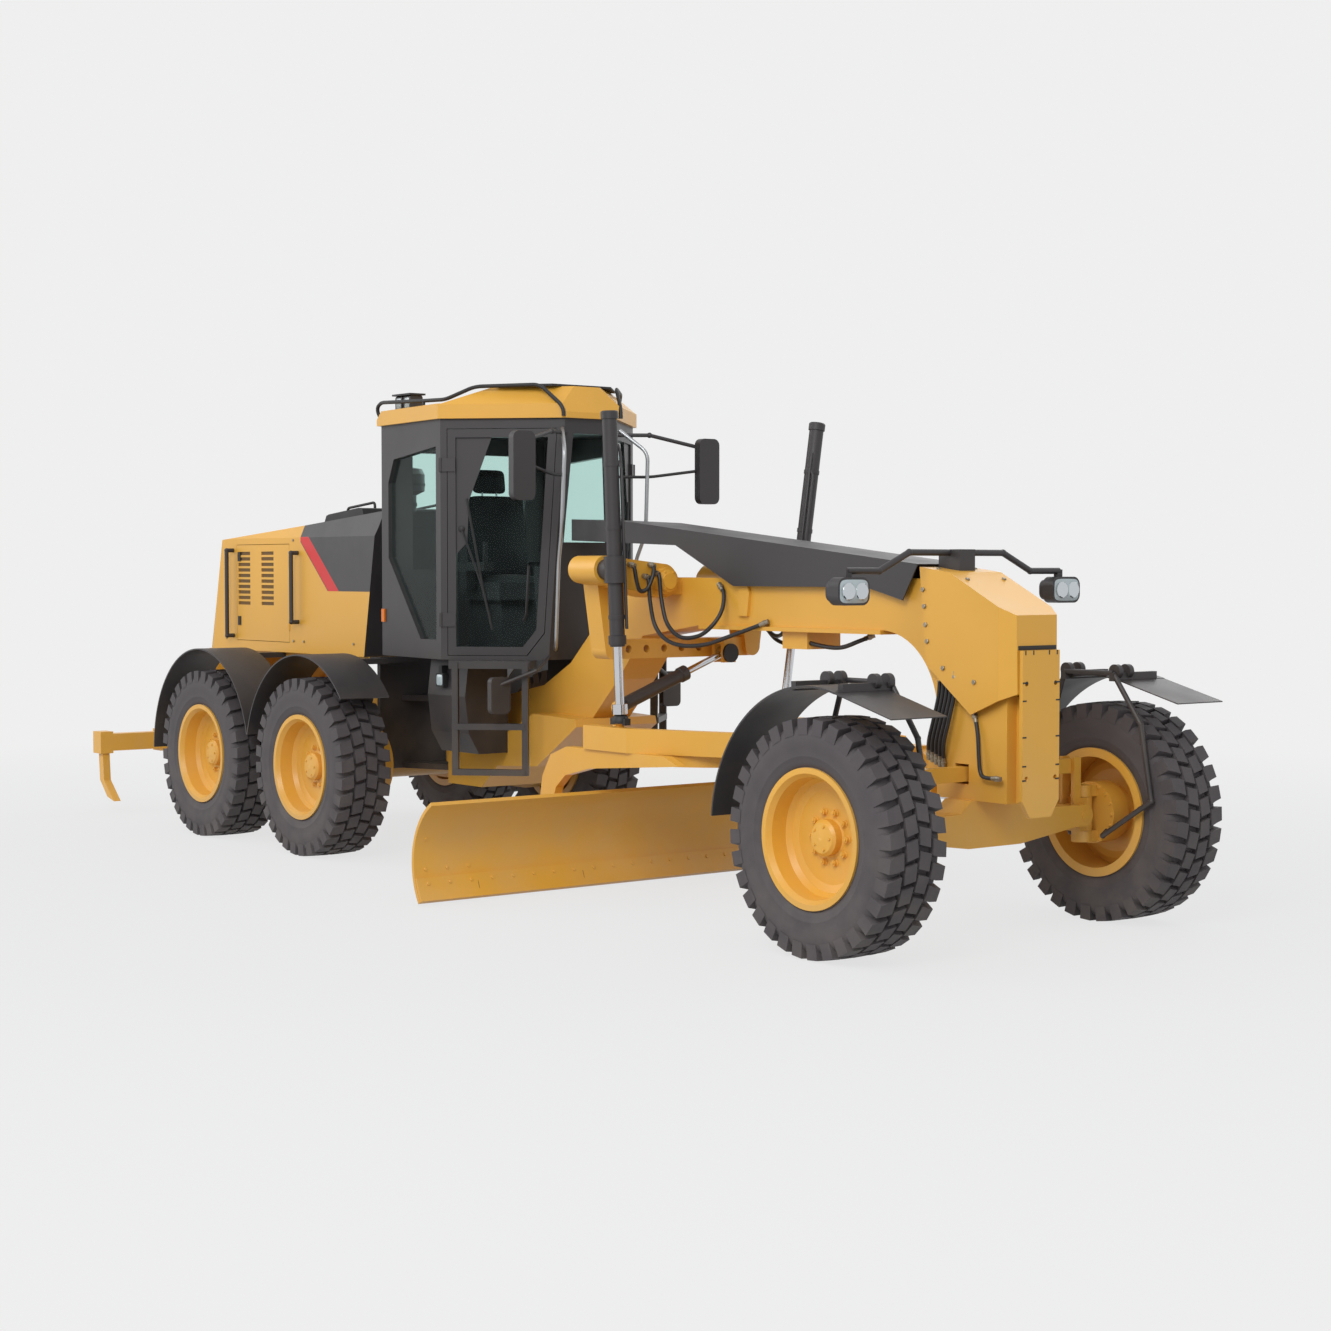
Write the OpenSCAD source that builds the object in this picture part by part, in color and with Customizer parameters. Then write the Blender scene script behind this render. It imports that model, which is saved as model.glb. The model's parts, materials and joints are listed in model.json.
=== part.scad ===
// Motor grader with articulated frame, leaning front wheels, circle-mounted blade and rear ripper.
// +X is forward, +Y is left, +Z is up; the origin is on the ground under the middle of the length.

/* [Wheels] */
// Outer radius of the tyres, out to the lug tips
tyre_r = 625; // [600:5:640]
// Width of the tyres
tyre_w = 394; // [360:2:410]
// Radius of the rim flange
rim_r = 340; // [325:1:355]
// Distance between left and right wheel centres
track = 2140; // [2120:2:2200]
// Distance between the two axles of a tandem
tandem_spacing = 1523; // [1500:1:1560]
// Front axle to tandem centre
wheelbase = 6123; // [6050:1:6200]
// Depth of the tyre lugs
lug_depth = 34; // [20:1:45]
// Lugs around each shoulder of a tyre
lug_count = 20; // [16:1:24]

/* [Frames] */
// Tandem centre to the articulation pin
hitch_ahead = 973; // [960:1:990]
// Radius of the articulation pin
hitch_pin_r = 60; // [45:1:75]
// Width of the front frame's box beam
beam_w = 305; // [280:1:320]
// Underside of the front frame's box beam
beam_bottom_z = 1660; // [1640:1:1680]
// Tandem centre to the rear end of the ripper
rear_reach = 3002; // [2960:1:3050]
// Width of the tandem cases
tandem_case_w = 210; // [180:1:220]
// Height of the tandem cases
tandem_case_h = 506; // [460:1:520]

/* [Hood] */
// Width of the hood
hood_w = 1200; // [1160:2:1220]
// Sheet thickness of the hood and its doors
hood_t = 12; // [8:1:16]
// Length of the engine doors
engine_door_l = 850; // [800:1:880]
// Height of the engine doors
engine_door_h = 740; // [700:1:750]

/* [Cab] */
// Underside of the cab
cab_z = 1400; // [1390:1:1420]
// Height of the cab below its roof
cab_h = 1600; // [1560:1:1640]
// Half width of the cab at its rear corners
cab_rear_half = 700; // [680:1:715]
// Half width of the cab at its door hinges
cab_mid_half = 800; // [780:1:810]
// Thickness of the cab's walls and doors
cab_t = 60; // [45:1:70]
// Thickness of the glass
glass_t = 8; // [6:1:10]

/* [Blade] */
// Length of the moldboard
blade_l = 3660; // [3400:2:3900]
// Radius of the moldboard's curve
blade_r = 413; // [400:1:425]
// Thickness of the moldboard
blade_t = 22; // [16:1:26]
// Outer radius of the circle
circle_r = 745; // [720:1:760]
// Height of the circle's ring
circle_h = 70; // [60:1:75]

/* [Cylinders] */
// Radius of the lift cylinders' barrels
lift_barrel_r = 46; // [42:0.5:50]
// Radius of the lift cylinders' rods
lift_rod_r = 27; // [22:0.5:32]
// Running clearance of rods and pins
clear = 0.3; // [0.2:0.05:0.5]

/* [Hidden] */
$fn = 64;

yellow = [0.93, 0.64, 0.13];
dark = [0.20, 0.19, 0.20];
rubber = [0.16, 0.15, 0.16];
steel = [0.75, 0.76, 0.78];
tint = [0.35, 0.62, 0.57, 0.5];
lens = [0.85, 0.88, 0.90];

// Stations along the machine: the front axle, the tandem centre and the articulation pin
front_x = (wheelbase + rear_reach - tyre_r) / 2;
tandem_x = front_x - wheelbase;
hitch_back = wheelbase - hitch_ahead;
// The cab and the rear of the front frame keep their distance to the articulation pin
cab_shift = 5150 - hitch_back;
cab_x = front_x + cab_shift;
axle_z = tyre_r;
half_track = track / 2;
half_beam = beam_w / 2;

// Helpers: extrude a side outline (x, z) between two y, a cross outline (y, z) between two x
module side(y0, y1) {
    translate([0, y1, 0])
        rotate([90, 0, 0])
            linear_extrude(y1 - y0)
                children();
}
module across(x0, x1) {
    translate([x0, 0, 0])
        rotate([90, 0, 90])
            linear_extrude(x1 - x0)
                children();
}
module box(x, y, z) {
    translate([x[0], y[0], z[0]])
        cube([x[1] - x[0], y[1] - y[0], z[1] - z[0]]);
}
module both() {
    children();
    mirror([0, 1, 0])
        children();
}
// A round bar from p to q
module bar(p, q, r) {
    d = q - p;
    translate(p)
        rotate([0, acos(d.z / norm(d)), atan2(d.y, d.x)])
            cylinder(h = norm(d), r = r);
}
// A bent tube through a list of points, with a round knuckle at each bend
module tube(points, r, knuckle = 1.12) {
    for (i = [0 : len(points) - 2])
        bar(points[i], points[i + 1], r);
    for (i = [1 : len(points) - 2])
        translate(points[i])
            sphere(r = knuckle * r);
}
// A cylinder along Y between two y values
module y_cyl(x, z, y0, y1, r) {
    translate([x, y0, z])
        rotate([-90, 0, 0])
            cylinder(h = y1 - y0, r = r);
}
// A cylinder along X between two x values
module x_cyl(y, z, x0, x1, r) {
    translate([x0, y, z])
        rotate([0, 90, 0])
            cylinder(h = x1 - x0, r = r);
}
// Part of a flat ring between two angles
module arc_2d(r0, r1, a0, a1) {
    difference() {
        circle(r = r1, $fn = 128);
        circle(r = r0, $fn = 128);
        step = (360 + a0 - a1) / 5;
        polygon(concat([[0, 0]], [for (k = [0 : 5]) 3 * r1 * [cos(a1 + k * step), sin(a1 + k * step)]]));
    }
}
// A rectangle with rounded corners between two u and two v
module rounded(u, v, r) {
    translate([u[0] + r, v[0]])
        square([u[1] - u[0] - 2 * r, v[1] - v[0]]);
    translate([u[0], v[0] + r])
        square([u[1] - u[0], v[1] - v[0] - 2 * r]);
    for (a = [u[0] + r, u[1] - r], b = [v[0] + r, v[1] - r])
        translate([a, b])
            circle(r = r);
}
function unit(v) = v / norm(v);
// A convex outline listed anticlockwise, moved inwards by d
function inset(p, d) = [for (i = [0 : len(p) - 1])
    let (n = len(p), a = unit(p[i] - p[(i + n - 1) % n]), b = unit(p[(i + 1) % n] - p[i]),
        u = [-a.y, a.x], v = [-b.y, b.x]) p[i] + d * (u + v) / (1 + u * v)];

// Wheels
wheels = [["front", front_x], ["mid", tandem_x + tandem_spacing / 2],
    ["rear", tandem_x - tandem_spacing / 2]];
rim_lip = 26;
rim_wall = 14;
rim_w = 330;
hub_r = 150;
spindle_r = 60;
rim_disc_t = 30;
// Spindle ends, outwards from the wheel's middle plane
spindle_end = 70;
hub_seat = -70;

// A tyre's skin runs in rings from bead to bead. A plain ring has one point to a lug pitch. A lug ring
// has four, two on a lug and two in the groove behind it, and the two shoulders swap lug and groove.
lug_share = [0, 0.42, 0.5, 0.92];
function plain_ring(p) = [for (k = [0 : lug_count - 1]) let (a = (k + 0.46) * 360 / lug_count)
    [p[0] * cos(a), p[1], p[0] * sin(a)]];
function lug_ring(p, swap) = [for (k = [0 : lug_count - 1], j = [0 : 3])
    let (a = (k + lug_share[j]) * 360 / lug_count, r = (j < 2) == swap ? p[0] - lug_depth : p[0])
        [r * cos(a), p[1], r * sin(a)]];
// Triangles from the ring that starts at point a to the one that starts at b, m points each
function strip(a, b, m) = [for (k = [0 : m - 1], t = [0, 1]) let (n = (k + 1) % m)
    t == 0 ? [a + k, a + n, b + n] : [a + k, b + n, b + k]];
// Triangles from a plain ring at a to a lug ring at b, turned over for the other side
function fan(a, b, over) = [for (k = [0 : lug_count - 1], j = [0 : 4])
    let (m = 4 * lug_count, p = a + k, q = b + (4 * k + j + 1) % m,
        t = j < 4 ? [p, q, b + 4 * k + j] : [p, a + (k + 1) % lug_count, b + (4 * k + 4) % m])
        over ? [t[0], t[2], t[1]] : t];
module tyre() {
    n = lug_count;
    half = tyre_w / 2;
    bead = rim_w / 2 - 3;
    flank = [[(rim_r - 10 + clear) / cos(180 / n), bead - 4], [rim_r + rim_lip + 6, bead + 4],
        [tyre_r - 140, half], [tyre_r - 62, half - 8]];
    tread = [[tyre_r - 9, half - 20], [tyre_r, 4]];
    points = concat([for (p = flank) each plain_ring([p[0], -p[1]])],
        lug_ring([tread[0][0], -tread[0][1]], false), lug_ring([tread[1][0], -tread[1][1]], false),
        lug_ring(tread[1], true), lug_ring(tread[0], true),
        [for (i = [3 : -1 : 0]) each plain_ring(flank[i])]);
    polyhedron(points, concat(strip(0, n, n), strip(n, 2 * n, n), strip(2 * n, 3 * n, n),
        fan(3 * n, 4 * n, false), strip(4 * n, 8 * n, 4 * n), strip(8 * n, 12 * n, 4 * n),
        strip(12 * n, 16 * n, 4 * n), fan(20 * n, 16 * n, true), strip(20 * n, 21 * n, n),
        strip(21 * n, 22 * n, n), strip(22 * n, 23 * n, n), strip(23 * n, 0, n)));
}
// The rim's disc faces +Y, the outside of a left wheel
module rim() {
    w = rim_w / 2;
    inner = rim_r - 10 - rim_wall;
    disc = 30;
    cap_r = 95;
    rotate([-90, 0, 0])
        difference() {
            rotate_extrude($fn = 96)
                polygon([[inner, -w - 20], [rim_r + rim_lip, -w - 20], [rim_r + rim_lip, -w - 6],
                    [rim_r - 10 - clear, -w], [rim_r - 10 - clear, w], [rim_r + rim_lip, w + 6],
                    [rim_r + rim_lip, w + 20], [rim_r - 4, w + 20], [inner, w - 8], [inner - 8, disc + 40],
                    [inner - 30, disc + 12], [inner - 70, disc], [cap_r + 10, disc], [cap_r, disc + 6],
                    [cap_r, disc + 48], [cap_r - 16, disc + 64], [0, disc + 72], [0, hub_seat],
                    [hub_r, hub_seat], [hub_r, disc - rim_disc_t], [inner - 80, disc - rim_disc_t],
                    [inner - 40, disc - 22], [inner, disc]]);
            translate([0, 0, hub_seat - 1])
                cylinder(h = spindle_end + 0.5 - hub_seat + 1, r = spindle_r + 0.05);
        }
}
module wheel_at(i, s) {
    translate([wheels[i][1], s * half_track, axle_z])
        if (s > 0)
            children();
        else
            mirror([0, 1, 0])
                children();
}
module tyre_node(i, s) {
    color(rubber)
        wheel_at(i, s)
            tyre();
}
module rim_node(i, s) {
    color(yellow)
        wheel_at(i, s)
            rim();
}

// Rear frame, measured from the tandem centre
deck_z = 1370;
rail_y = [420, 500];
tail_x = -1850;
hood_front_x = 713;
case_out = half_track - tyre_w / 2 - 23;
case_in = case_out - tandem_case_w;
hitch_r = 150;
yoke_z = [[560, 600], [1050, 1090]];
ripper_pivot = [tail_x - 150, 800];

module rear_frame() {
    color(yellow)
        translate([tandem_x, 0, 0]) {
            both()
                box([tail_x, 600], rail_y, [800, 1150]);
            box([tail_x - 60, tail_x], [-600, 600], [640, deck_z]);
            box([tail_x, 700], [-560, 560], [1330, deck_z]);
            box([-950, -850], [-rail_y[0], rail_y[0]], [800, 980]);
            both()
                box([560, 600], [0, rail_y[1]], [560, 1330]);
            y_cyl(0, axle_z, -case_in, case_in, 190);
            box([-160, 160], [-500, 500], [axle_z, 900]);
            for (z = yoke_z)
                difference() {
                    translate([0, 0, z[0]])
                        linear_extrude(z[1] - z[0]) {
                            translate([hitch_ahead, 0])
                                circle(r = hitch_r);
                            polygon([[580, -330], [hitch_ahead, -hitch_r], [hitch_ahead, hitch_r],
                                [580, 330]]);
                        }
                }
            translate([hitch_ahead, 0, yoke_z[0][0] - 10])
                cylinder(h = yoke_z[1][1] - yoke_z[0][0] + 20, r = hitch_pin_r);
            // Ripper brackets on the tail plate, with their pin
            for (y = [-340, 260])
                difference() {
                    box([ripper_pivot[0] - 70, tail_x], [y, y + 80], [ripper_pivot[1] - 90, 1000]);
                    y_cyl(ripper_pivot[0], ripper_pivot[1], y - 1, y + 81, 35);
                }
            both()
                box([tail_x - 200, tail_x - 60], [52, 80], [1150, 1300]);
            y_cyl(tail_x - 150, 1225, -80, 80, 25);
        }
}
module engine_block() {
    color(dark)
        translate([tandem_x, 0, 0])
            box([-1250, -420], [-330, 330], [deck_z, 2050]);
}
// Hood side outline, rear part and front part, measured from the tandem centre
hood_seam = -387;
hood_rear = [[-1857, deck_z], [hood_seam - clear, deck_z], [hood_seam - clear, 2330], [-1667, 2234]];
hood_fore = [[hood_seam, deck_z], [hood_front_x - 170, deck_z], [hood_front_x, 2300],
    [hood_front_x, 2420], [hood_seam, 2330]];
hood_door_x = [-567 - engine_door_l, -567];
hood_door_z = [1450, 1450 + engine_door_h];
hood_chamfer = 90;
engine_hinge_z = [hood_door_z[0] + 90, hood_door_z[1] - 170];
module hood_section(outline) {
    half = hood_w / 2;
    intersection() {
        side(-half, half)
            polygon(outline);
        across(-3000, 2000)
            polygon([[-half, deck_z], [half, deck_z], [half, 2330 - hood_chamfer],
                [half - hood_chamfer, 2450], [-half + hood_chamfer, 2450], [-half, 2330 - hood_chamfer]]);
    }
}
module hood_shell(outline) {
    half = hood_w / 2;
    difference() {
        hood_section(outline);
        intersection() {
            side(-half + hood_t, half - hood_t)
                polygon(concat(inset(outline, hood_t)));
            across(-3000, 2000)
                polygon([[-half, deck_z + hood_t], [half, deck_z + hood_t],
                    [half - hood_t, 2330 - hood_chamfer - hood_t],
                    [half - hood_chamfer - hood_t, 2450 - hood_t],
                    [-half + hood_chamfer + hood_t, 2450 - hood_t],
                    [-half + hood_t, 2330 - hood_chamfer - hood_t]]);
        }
    }
}
module hood() {
    half = hood_w / 2;
    color(yellow)
        translate([tandem_x, 0, 0])
            difference() {
                hood_shell(hood_rear);
                both()
                    box([hood_door_x[0] - 4, hood_door_x[1] + 4], [half - 2 * hood_t, half + 1],
                        [hood_door_z[0] - 4, hood_door_z[1] + 4]);
                both()
                    for (z = engine_hinge_z)
                        translate([hood_door_x[1], half, z - clear])
                            cylinder(h = 80 + 2 * clear, r = 10 + clear);
                box([-1300, -410], [-360, 360], [deck_z - 1, deck_z + hood_t + 1]);
            }
}
cleaner = [523, -220];
module hood_front() {
    color(dark)
        translate([tandem_x, 0, 0]) {
            difference() {
                hood_shell(hood_fore);
                translate([cleaner.x, cleaner.y, 2300])
                    cylinder(h = 200, r = 45);
            }
            translate([cleaner.x, cleaner.y, 2360])
                rotate_extrude()
                    polygon([[0, 0], [70, 0], [70, 180], [130, 210], [130, 330], [110, 370], [0, 390]]);
        }
}
guard_slots = 9;
module radiator_guard() {
    foot_x = -1942;
    lean = 195 / (2200 - deck_z);
    pitch = (2140 - deck_z) / guard_slots;
    color(dark)
        translate([tandem_x, 0, 0])
            difference() {
                side(-560, 560)
                    polygon([[foot_x, deck_z], [foot_x + 67, deck_z], [foot_x + 262, 2200],
                        [foot_x + 195, 2200]]);
                for (i = [0 : guard_slots - 1], y = [-510, 20])
                    side(y, y + 490)
                        polygon([for (c = [[-5, 0], [25, 0], [25, 48], [-5, 48]])
                            let (z = 60 + i * pitch + c[1])
                                [foot_x + c[0] + lean * z, deck_z + z]]);
            }
}
module tandem_cases() {
    color(yellow)
        translate([tandem_x, 0, 0])
            both() {
                a = tandem_spacing / 2;
                for (x = [-a, a]) {
                    y_cyl(x, axle_z, case_in, case_out, tandem_case_h / 2);
                    y_cyl(x, axle_z, case_in + 10, half_track + spindle_end, spindle_r);
                    y_cyl(x, axle_z, case_in + 10, half_track + hub_seat - 2, hub_r);
                }
                box([-a, a], [case_in, case_out], [axle_z - tandem_case_h / 2, axle_z + tandem_case_h / 2]);
            }
}
fender_r = 775;
fender_t = 10;
module rear_fenders() {
    a = tandem_spacing / 2;
    y0 = half_track - tyre_w / 2 + 6;
    y1 = half_track + tyre_w / 2 - 8;
    valley = acos(a / (fender_r + fender_t));
    color(dark)
        translate([tandem_x, 0, 0])
            both() {
                side(y0, y1) {
                    translate([-a, axle_z])
                        arc_2d(fender_r, fender_r + fender_t, valley - 0.4, 180);
                    translate([a, axle_z])
                        arc_2d(fender_r, fender_r + fender_t, 40, 180.4 - valley);
                }
                for (x = [-a, a])
                    union() {
                        box([x - 60, x + 60], [560, y0 + 20], [deck_z - 40, deck_z - 2]);
                        box([x - 60, x + 60], [y0, y0 + 20], [deck_z - 40, axle_z + fender_r + 5]);
                    }
            }
}
rail_r = 16;
module grab_rails() {
    y0 = hood_w / 2;
    y1 = y0 + 60;
    color(dark)
        translate([tandem_x, 0, 0])
            both() {
                tube([[-1477, y0, 1480], [-1477, y1, 1480], [-1477, y1, 2150], [-1477, y0, 2150]], rail_r);
                tube([[-427, y0, 1605], [-427, y1, 1605], [-427, y1, 2124], [-427, y0, 2124]], rail_r);
            }
}
engine_grille_x = [hood_door_x[0] + 20, hood_door_x[0] + 403];
engine_grille_slots = 10;
engine_grille_pitch = 43;
engine_grille_z = hood_door_z[0] + 275;
module engine_door() {
    half = hood_w / 2;
    difference() {
        box(hood_door_x, [half - hood_t, half], hood_door_z);
        // Two grilles of slots pressed into the sheet
        for (x = engine_grille_x, i = [0 : engine_grille_slots - 1]) {
            z = engine_grille_z + i * engine_grille_pitch;
            box([x, x + 200], [half - 0.6 * hood_t, half + 1], [z, z + 0.6 * engine_grille_pitch]);
        }
    }
    for (z = engine_hinge_z)
        translate([hood_door_x[1], half, z])
            cylinder(h = 80, r = 10);
}
module engine_door_right() {
    color(yellow)
        translate([tandem_x, 0, 0])
            mirror([0, 1, 0])
                engine_door();
}
module engine_door_left() {
    color(yellow)
        translate([tandem_x, 0, 0])
            engine_door();
}

// Ripper, measured from the tandem centre
ripper_beam_x = -rear_reach + 92;
ripper_beam_half = 1120;
ripper_pockets = 5;
ripper_pitch = 533;
module ripper() {
    beam_z = [500, 640];
    color(yellow)
        translate([tandem_x, 0, 0]) {
            box([ripper_beam_x - 60, ripper_beam_x + 60], [-ripper_beam_half, ripper_beam_half], beam_z);
            for (y = [-257, 177])
                difference() {
                    side(y, y + 80)
                        polygon([[ripper_beam_x, beam_z[0]], [ripper_pivot[0] - 20, ripper_pivot[1] - 70],
                            [ripper_pivot[0] + 60, ripper_pivot[1] - 40],
                            [ripper_pivot[0] + 60, ripper_pivot[1] + 40],
                            [ripper_pivot[0] - 20, ripper_pivot[1] + 70], [ripper_beam_x, beam_z[1] + 60]]);
                }
            // Ears on either side of the cylinder's rod end
            both()
                side(52, 76)
                    polygon([[ripper_beam_x - 50, beam_z[1] - 5], [ripper_beam_x + 55, beam_z[1] - 5],
                        [ripper_beam_x + 110, 900], [ripper_beam_x + 10, 900]]);
            y_cyl(ripper_pivot[0], ripper_pivot[1], -341, 341, 35 - clear);
            for (i = [0 : ripper_pockets - 1]) {
                y = (i - (ripper_pockets - 1) / 2) * ripper_pitch;
                box([-rear_reach, ripper_beam_x + 60], [y - 55, y + 55], [480, 660]);
            }
            for (y = [-1, 0, 1] * ripper_pitch * 2)
                side(y - 30, y + 30)
                    polygon([[ripper_beam_x - 40, 480], [ripper_beam_x + 40, 480],
                        [ripper_beam_x + 60, 260], [ripper_beam_x + 250, 100], [ripper_beam_x + 120, 130],
                        [ripper_beam_x - 20, 260]]);
        }
}
ripper_eye = [tail_x - 150, 1225];
ripper_foot = [ripper_beam_x + 60, 860];
module ripper_cylinder_frame() {
    d = ripper_foot - ripper_eye;
    translate([tandem_x + ripper_eye.x, 0, ripper_eye.y])
        rotate([0, -atan2(d.y, d.x), 0])
            children();
}
ripper_cyl_l = norm(ripper_foot - ripper_eye);
module ripper_barrel() {
    color(dark)
        ripper_cylinder_frame()
            difference() {
                union() {
                    y_cyl(0, 0, -50, 50, 48);
                    x_cyl(0, 0, 20, ripper_cyl_l - 270, 45);
                }
                y_cyl(0, 0, -51, 51, 25 + clear);
                x_cyl(0, 0, 60, ripper_cyl_l, 25 + clear);
            }
}
module ripper_rod() {
    color(steel)
        ripper_cylinder_frame() {
            x_cyl(0, 0, ripper_cyl_l - 640, ripper_cyl_l - 70, 25);
            x_cyl(0, 0, ripper_cyl_l - 90, ripper_cyl_l - 50, 38);
        }
}

// Front frame, measured from the front axle
plate_x = [405, 430];
plate_half = 140;
plate_holes = [110, [900, 1400]];
plate_hole_r = 13;
tongue_z = [620, 1030];
leg_bottom_z = 762;
// Rear face of the front leg, and the radius of the arch between leg and beam
arch = [-190, 450];
frame_outline = [[-hitch_back + 200, tongue_z[0]], [cab_shift - 4250, 662], [cab_shift - 3750, 690],
    [cab_shift - 3110, 1290], [cab_shift - 2850, 1578], [-2250, beam_bottom_z], [arch.x, beam_bottom_z],
    [arch.x, leg_bottom_z], [330, leg_bottom_z], [330, 1500], [20, 1880],
    [-320, 1950], [cab_shift - 3100, 1950], [cab_shift - 3280, 1750], [cab_shift - 3430, 1570],
    [cab_shift - 3640, 1380], [cab_shift - 3950, 1220], [-hitch_back + 200, tongue_z[1]]];
module front_frame() {
    color(yellow)
        translate([front_x, 0, 0]) {
            difference() {
                side(-half_beam, half_beam) {
                    polygon(frame_outline);
                    translate([arch.x - arch.y, beam_bottom_z - arch.y])
                        difference() {
                            square(arch.y);
                            circle(r = arch.y, $fn = 128);
                        }
                }
                // Window that the lean bar passes through
                box([-50, 50], [-half_beam - 1, half_beam + 1], [lean_bar_z - 54, lean_bar_z + 54]);
            }
            translate([cab_shift, 0, 0])
                side(-330, 330)
                    polygon([[-4880, 500], [-4450, 500], [-4260, 662], [-3780, 690], [-3330, 975],
                        [-3345, 1025], [-3820, 1040], [-4450, 760], [-4880, 700]]);
            difference() {
                translate([0, 0, tongue_z[0]])
                    linear_extrude(tongue_z[1] - tongue_z[0]) {
                        translate([-hitch_back, 0])
                            circle(r = hitch_r);
                        polygon([[-hitch_back, -hitch_r], [-hitch_back + 250, -half_beam],
                            [-hitch_back + 250, half_beam], [-hitch_back, hitch_r]]);
                    }
                translate([-hitch_back, 0, 0])
                    cylinder(h = 2000, r = hitch_pin_r + clear);
            }
            box([-2250, -620], [-half_beam - 24, half_beam + 24], [beam_bottom_z - 24, beam_bottom_z]);
            box([300, plate_x[0]], [-80, 80], [leg_bottom_z, 1330]);
            difference() {
                across(plate_x[0], plate_x[1])
                    polygon([[-plate_half, 780], [-plate_half + 60, 690], [plate_half - 60, 690],
                        [plate_half, 780], [plate_half, 1575], [-plate_half, 1575]]);
                for (y = [-1, 1] * plate_holes[0], z = plate_holes[1])
                    x_cyl(y, z, plate_x[0] - 1, plate_x[1] + 1, plate_hole_r);
            }
            // Socket under the gooseneck that holds the drawbar ball
            difference() {
                box([ball_x - 60, -180], [-55, 55], [ball_z + 40, ball_z + 150]);
                translate([ball_x, 0, ball_z])
                    sphere(r = ball_r + clear);
            }
        }
}
// Front axle
lean_y = 720;
kingpin_y = 800;
lean_bar_z = axle_z + 275;
module front_axle() {
    color(yellow)
        translate([front_x, 0, 0]) {
            across(-100, 100)
                polygon([[-640, axle_z - 60], [-200, axle_z - 120], [200, axle_z - 120], [640, axle_z - 60],
                    [640, axle_z + 60], [260, axle_z + 70], [180, leg_bottom_z], [-180, leg_bottom_z],
                    [-260, axle_z + 70], [-640, axle_z + 60]]);
            both()
                for (x = [56, -100])
                    difference() {
                        union() {
                            x_cyl(lean_y, axle_z, x, x + 44, 62);
                            box([x, x + 44], [600, lean_y], [axle_z - 60, axle_z + 60]);
                        }
                        x_cyl(lean_y, axle_z, x - 1, x + 45, 30 + clear);
                    }
        }
}
module lean_yoke() {
    difference() {
        union() {
            x_cyl(lean_y, axle_z, -55, 55, 62);
            box([-55, 55], [lean_y, kingpin_y - 2], [axle_z - 95, axle_z + 95]);
            translate([0, kingpin_y, axle_z - 95])
                cylinder(h = 190, r = 58);
            box([-55, -32], [lean_y - 45, lean_y + 10], [axle_z, lean_bar_z + 50]);
            box([32, 55], [lean_y - 45, lean_y + 10], [axle_z, lean_bar_z + 50]);
        }
        translate([0, kingpin_y, axle_z - 200])
            cylinder(h = 400, r = 30 + clear);
    }
    x_cyl(lean_y, axle_z, -105, 105, 30);
}
module lean_yoke_left() {
    color(yellow)
        translate([front_x, 0, 0])
            lean_yoke();
}
module lean_yoke_right() {
    color(yellow)
        translate([front_x, 0, 0])
            mirror([0, 1, 0])
                lean_yoke();
}
module lean_bar() {
    color(yellow)
        translate([front_x, 0, 0])
            box([-32 + clear, 32 - clear], [-lean_y - 30, lean_y + 30], [lean_bar_z - 40, lean_bar_z + 40]);
}
// Steering knuckle with its hub drive; the kingpin is part of it
knuckle_face = 872;
module knuckle() {
    translate([0, kingpin_y, axle_z - 160])
        cylinder(h = 320, r = 30);
    for (z = [axle_z - 160, axle_z + 97])
        union() {
            translate([0, kingpin_y, z])
                cylinder(h = 63, r = 58);
            box([-50, 50], [kingpin_y, knuckle_face + 10], [z, z + 63]);
        }
    y_cyl(0, axle_z, knuckle_face, half_track + hub_seat - 2, 175);
    y_cyl(0, axle_z, knuckle_face, half_track + spindle_end, spindle_r);
}
module knuckle_left() {
    color(yellow)
        translate([front_x, 0, 0])
            knuckle();
}
module knuckle_right() {
    color(yellow)
        translate([front_x, 0, 0])
            mirror([0, 1, 0])
                knuckle();
}
front_fender_r = 775;
fender_lift = 75;
fender_front = 428;
module front_fender() {
    y0 = half_track - tyre_w / 2 + 4;
    y1 = half_track + tyre_w / 2 - 8;
    strut_y = y0 - 26;
    side(y0, y1)
        translate([0, axle_z]) {
            arc_2d(front_fender_r, front_fender_r + fender_t, fender_lift, 176);
            // The front runs on straight
            rotate(fender_lift - 90)
                translate([-20, front_fender_r + 2])
                    square([fender_front + 20, fender_t - 4]);
        }
    tube([[120, kingpin_y + 86, axle_z - 90], [120, strut_y - 8, axle_z - 120], [460, strut_y, axle_z + 100],
        [380, strut_y, axle_z + 520], [180, strut_y, axle_z + front_fender_r + 20]], 15);
    tube([[-120, kingpin_y + 86, axle_z - 90], [-120, strut_y - 8, axle_z - 120],
        [-380, strut_y, axle_z + 200], [-180, strut_y, axle_z + front_fender_r + 20]], 15);
    // Rail along the top, and the two clamps that hold the plate
    bar([-180, strut_y, axle_z + front_fender_r + 20], [180, strut_y, axle_z + front_fender_r + 20], 15);
    for (x = [-180, 180]) {
        box([x - 18, x + 18], [strut_y - 15, y1 - 60], [axle_z + front_fender_r - 24,
            axle_z + front_fender_r + 24]);
        for (y = [strut_y + 6, strut_y + 96])
            y_cyl(x, axle_z + front_fender_r + 30, y, y + 34, 40);
    }
}
module front_fender_left() {
    color(dark)
        translate([front_x, 0, 0])
            front_fender();
}
module front_fender_right() {
    color(dark)
        translate([front_x, 0, 0])
            mirror([0, 1, 0])
                front_fender();
}

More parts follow.
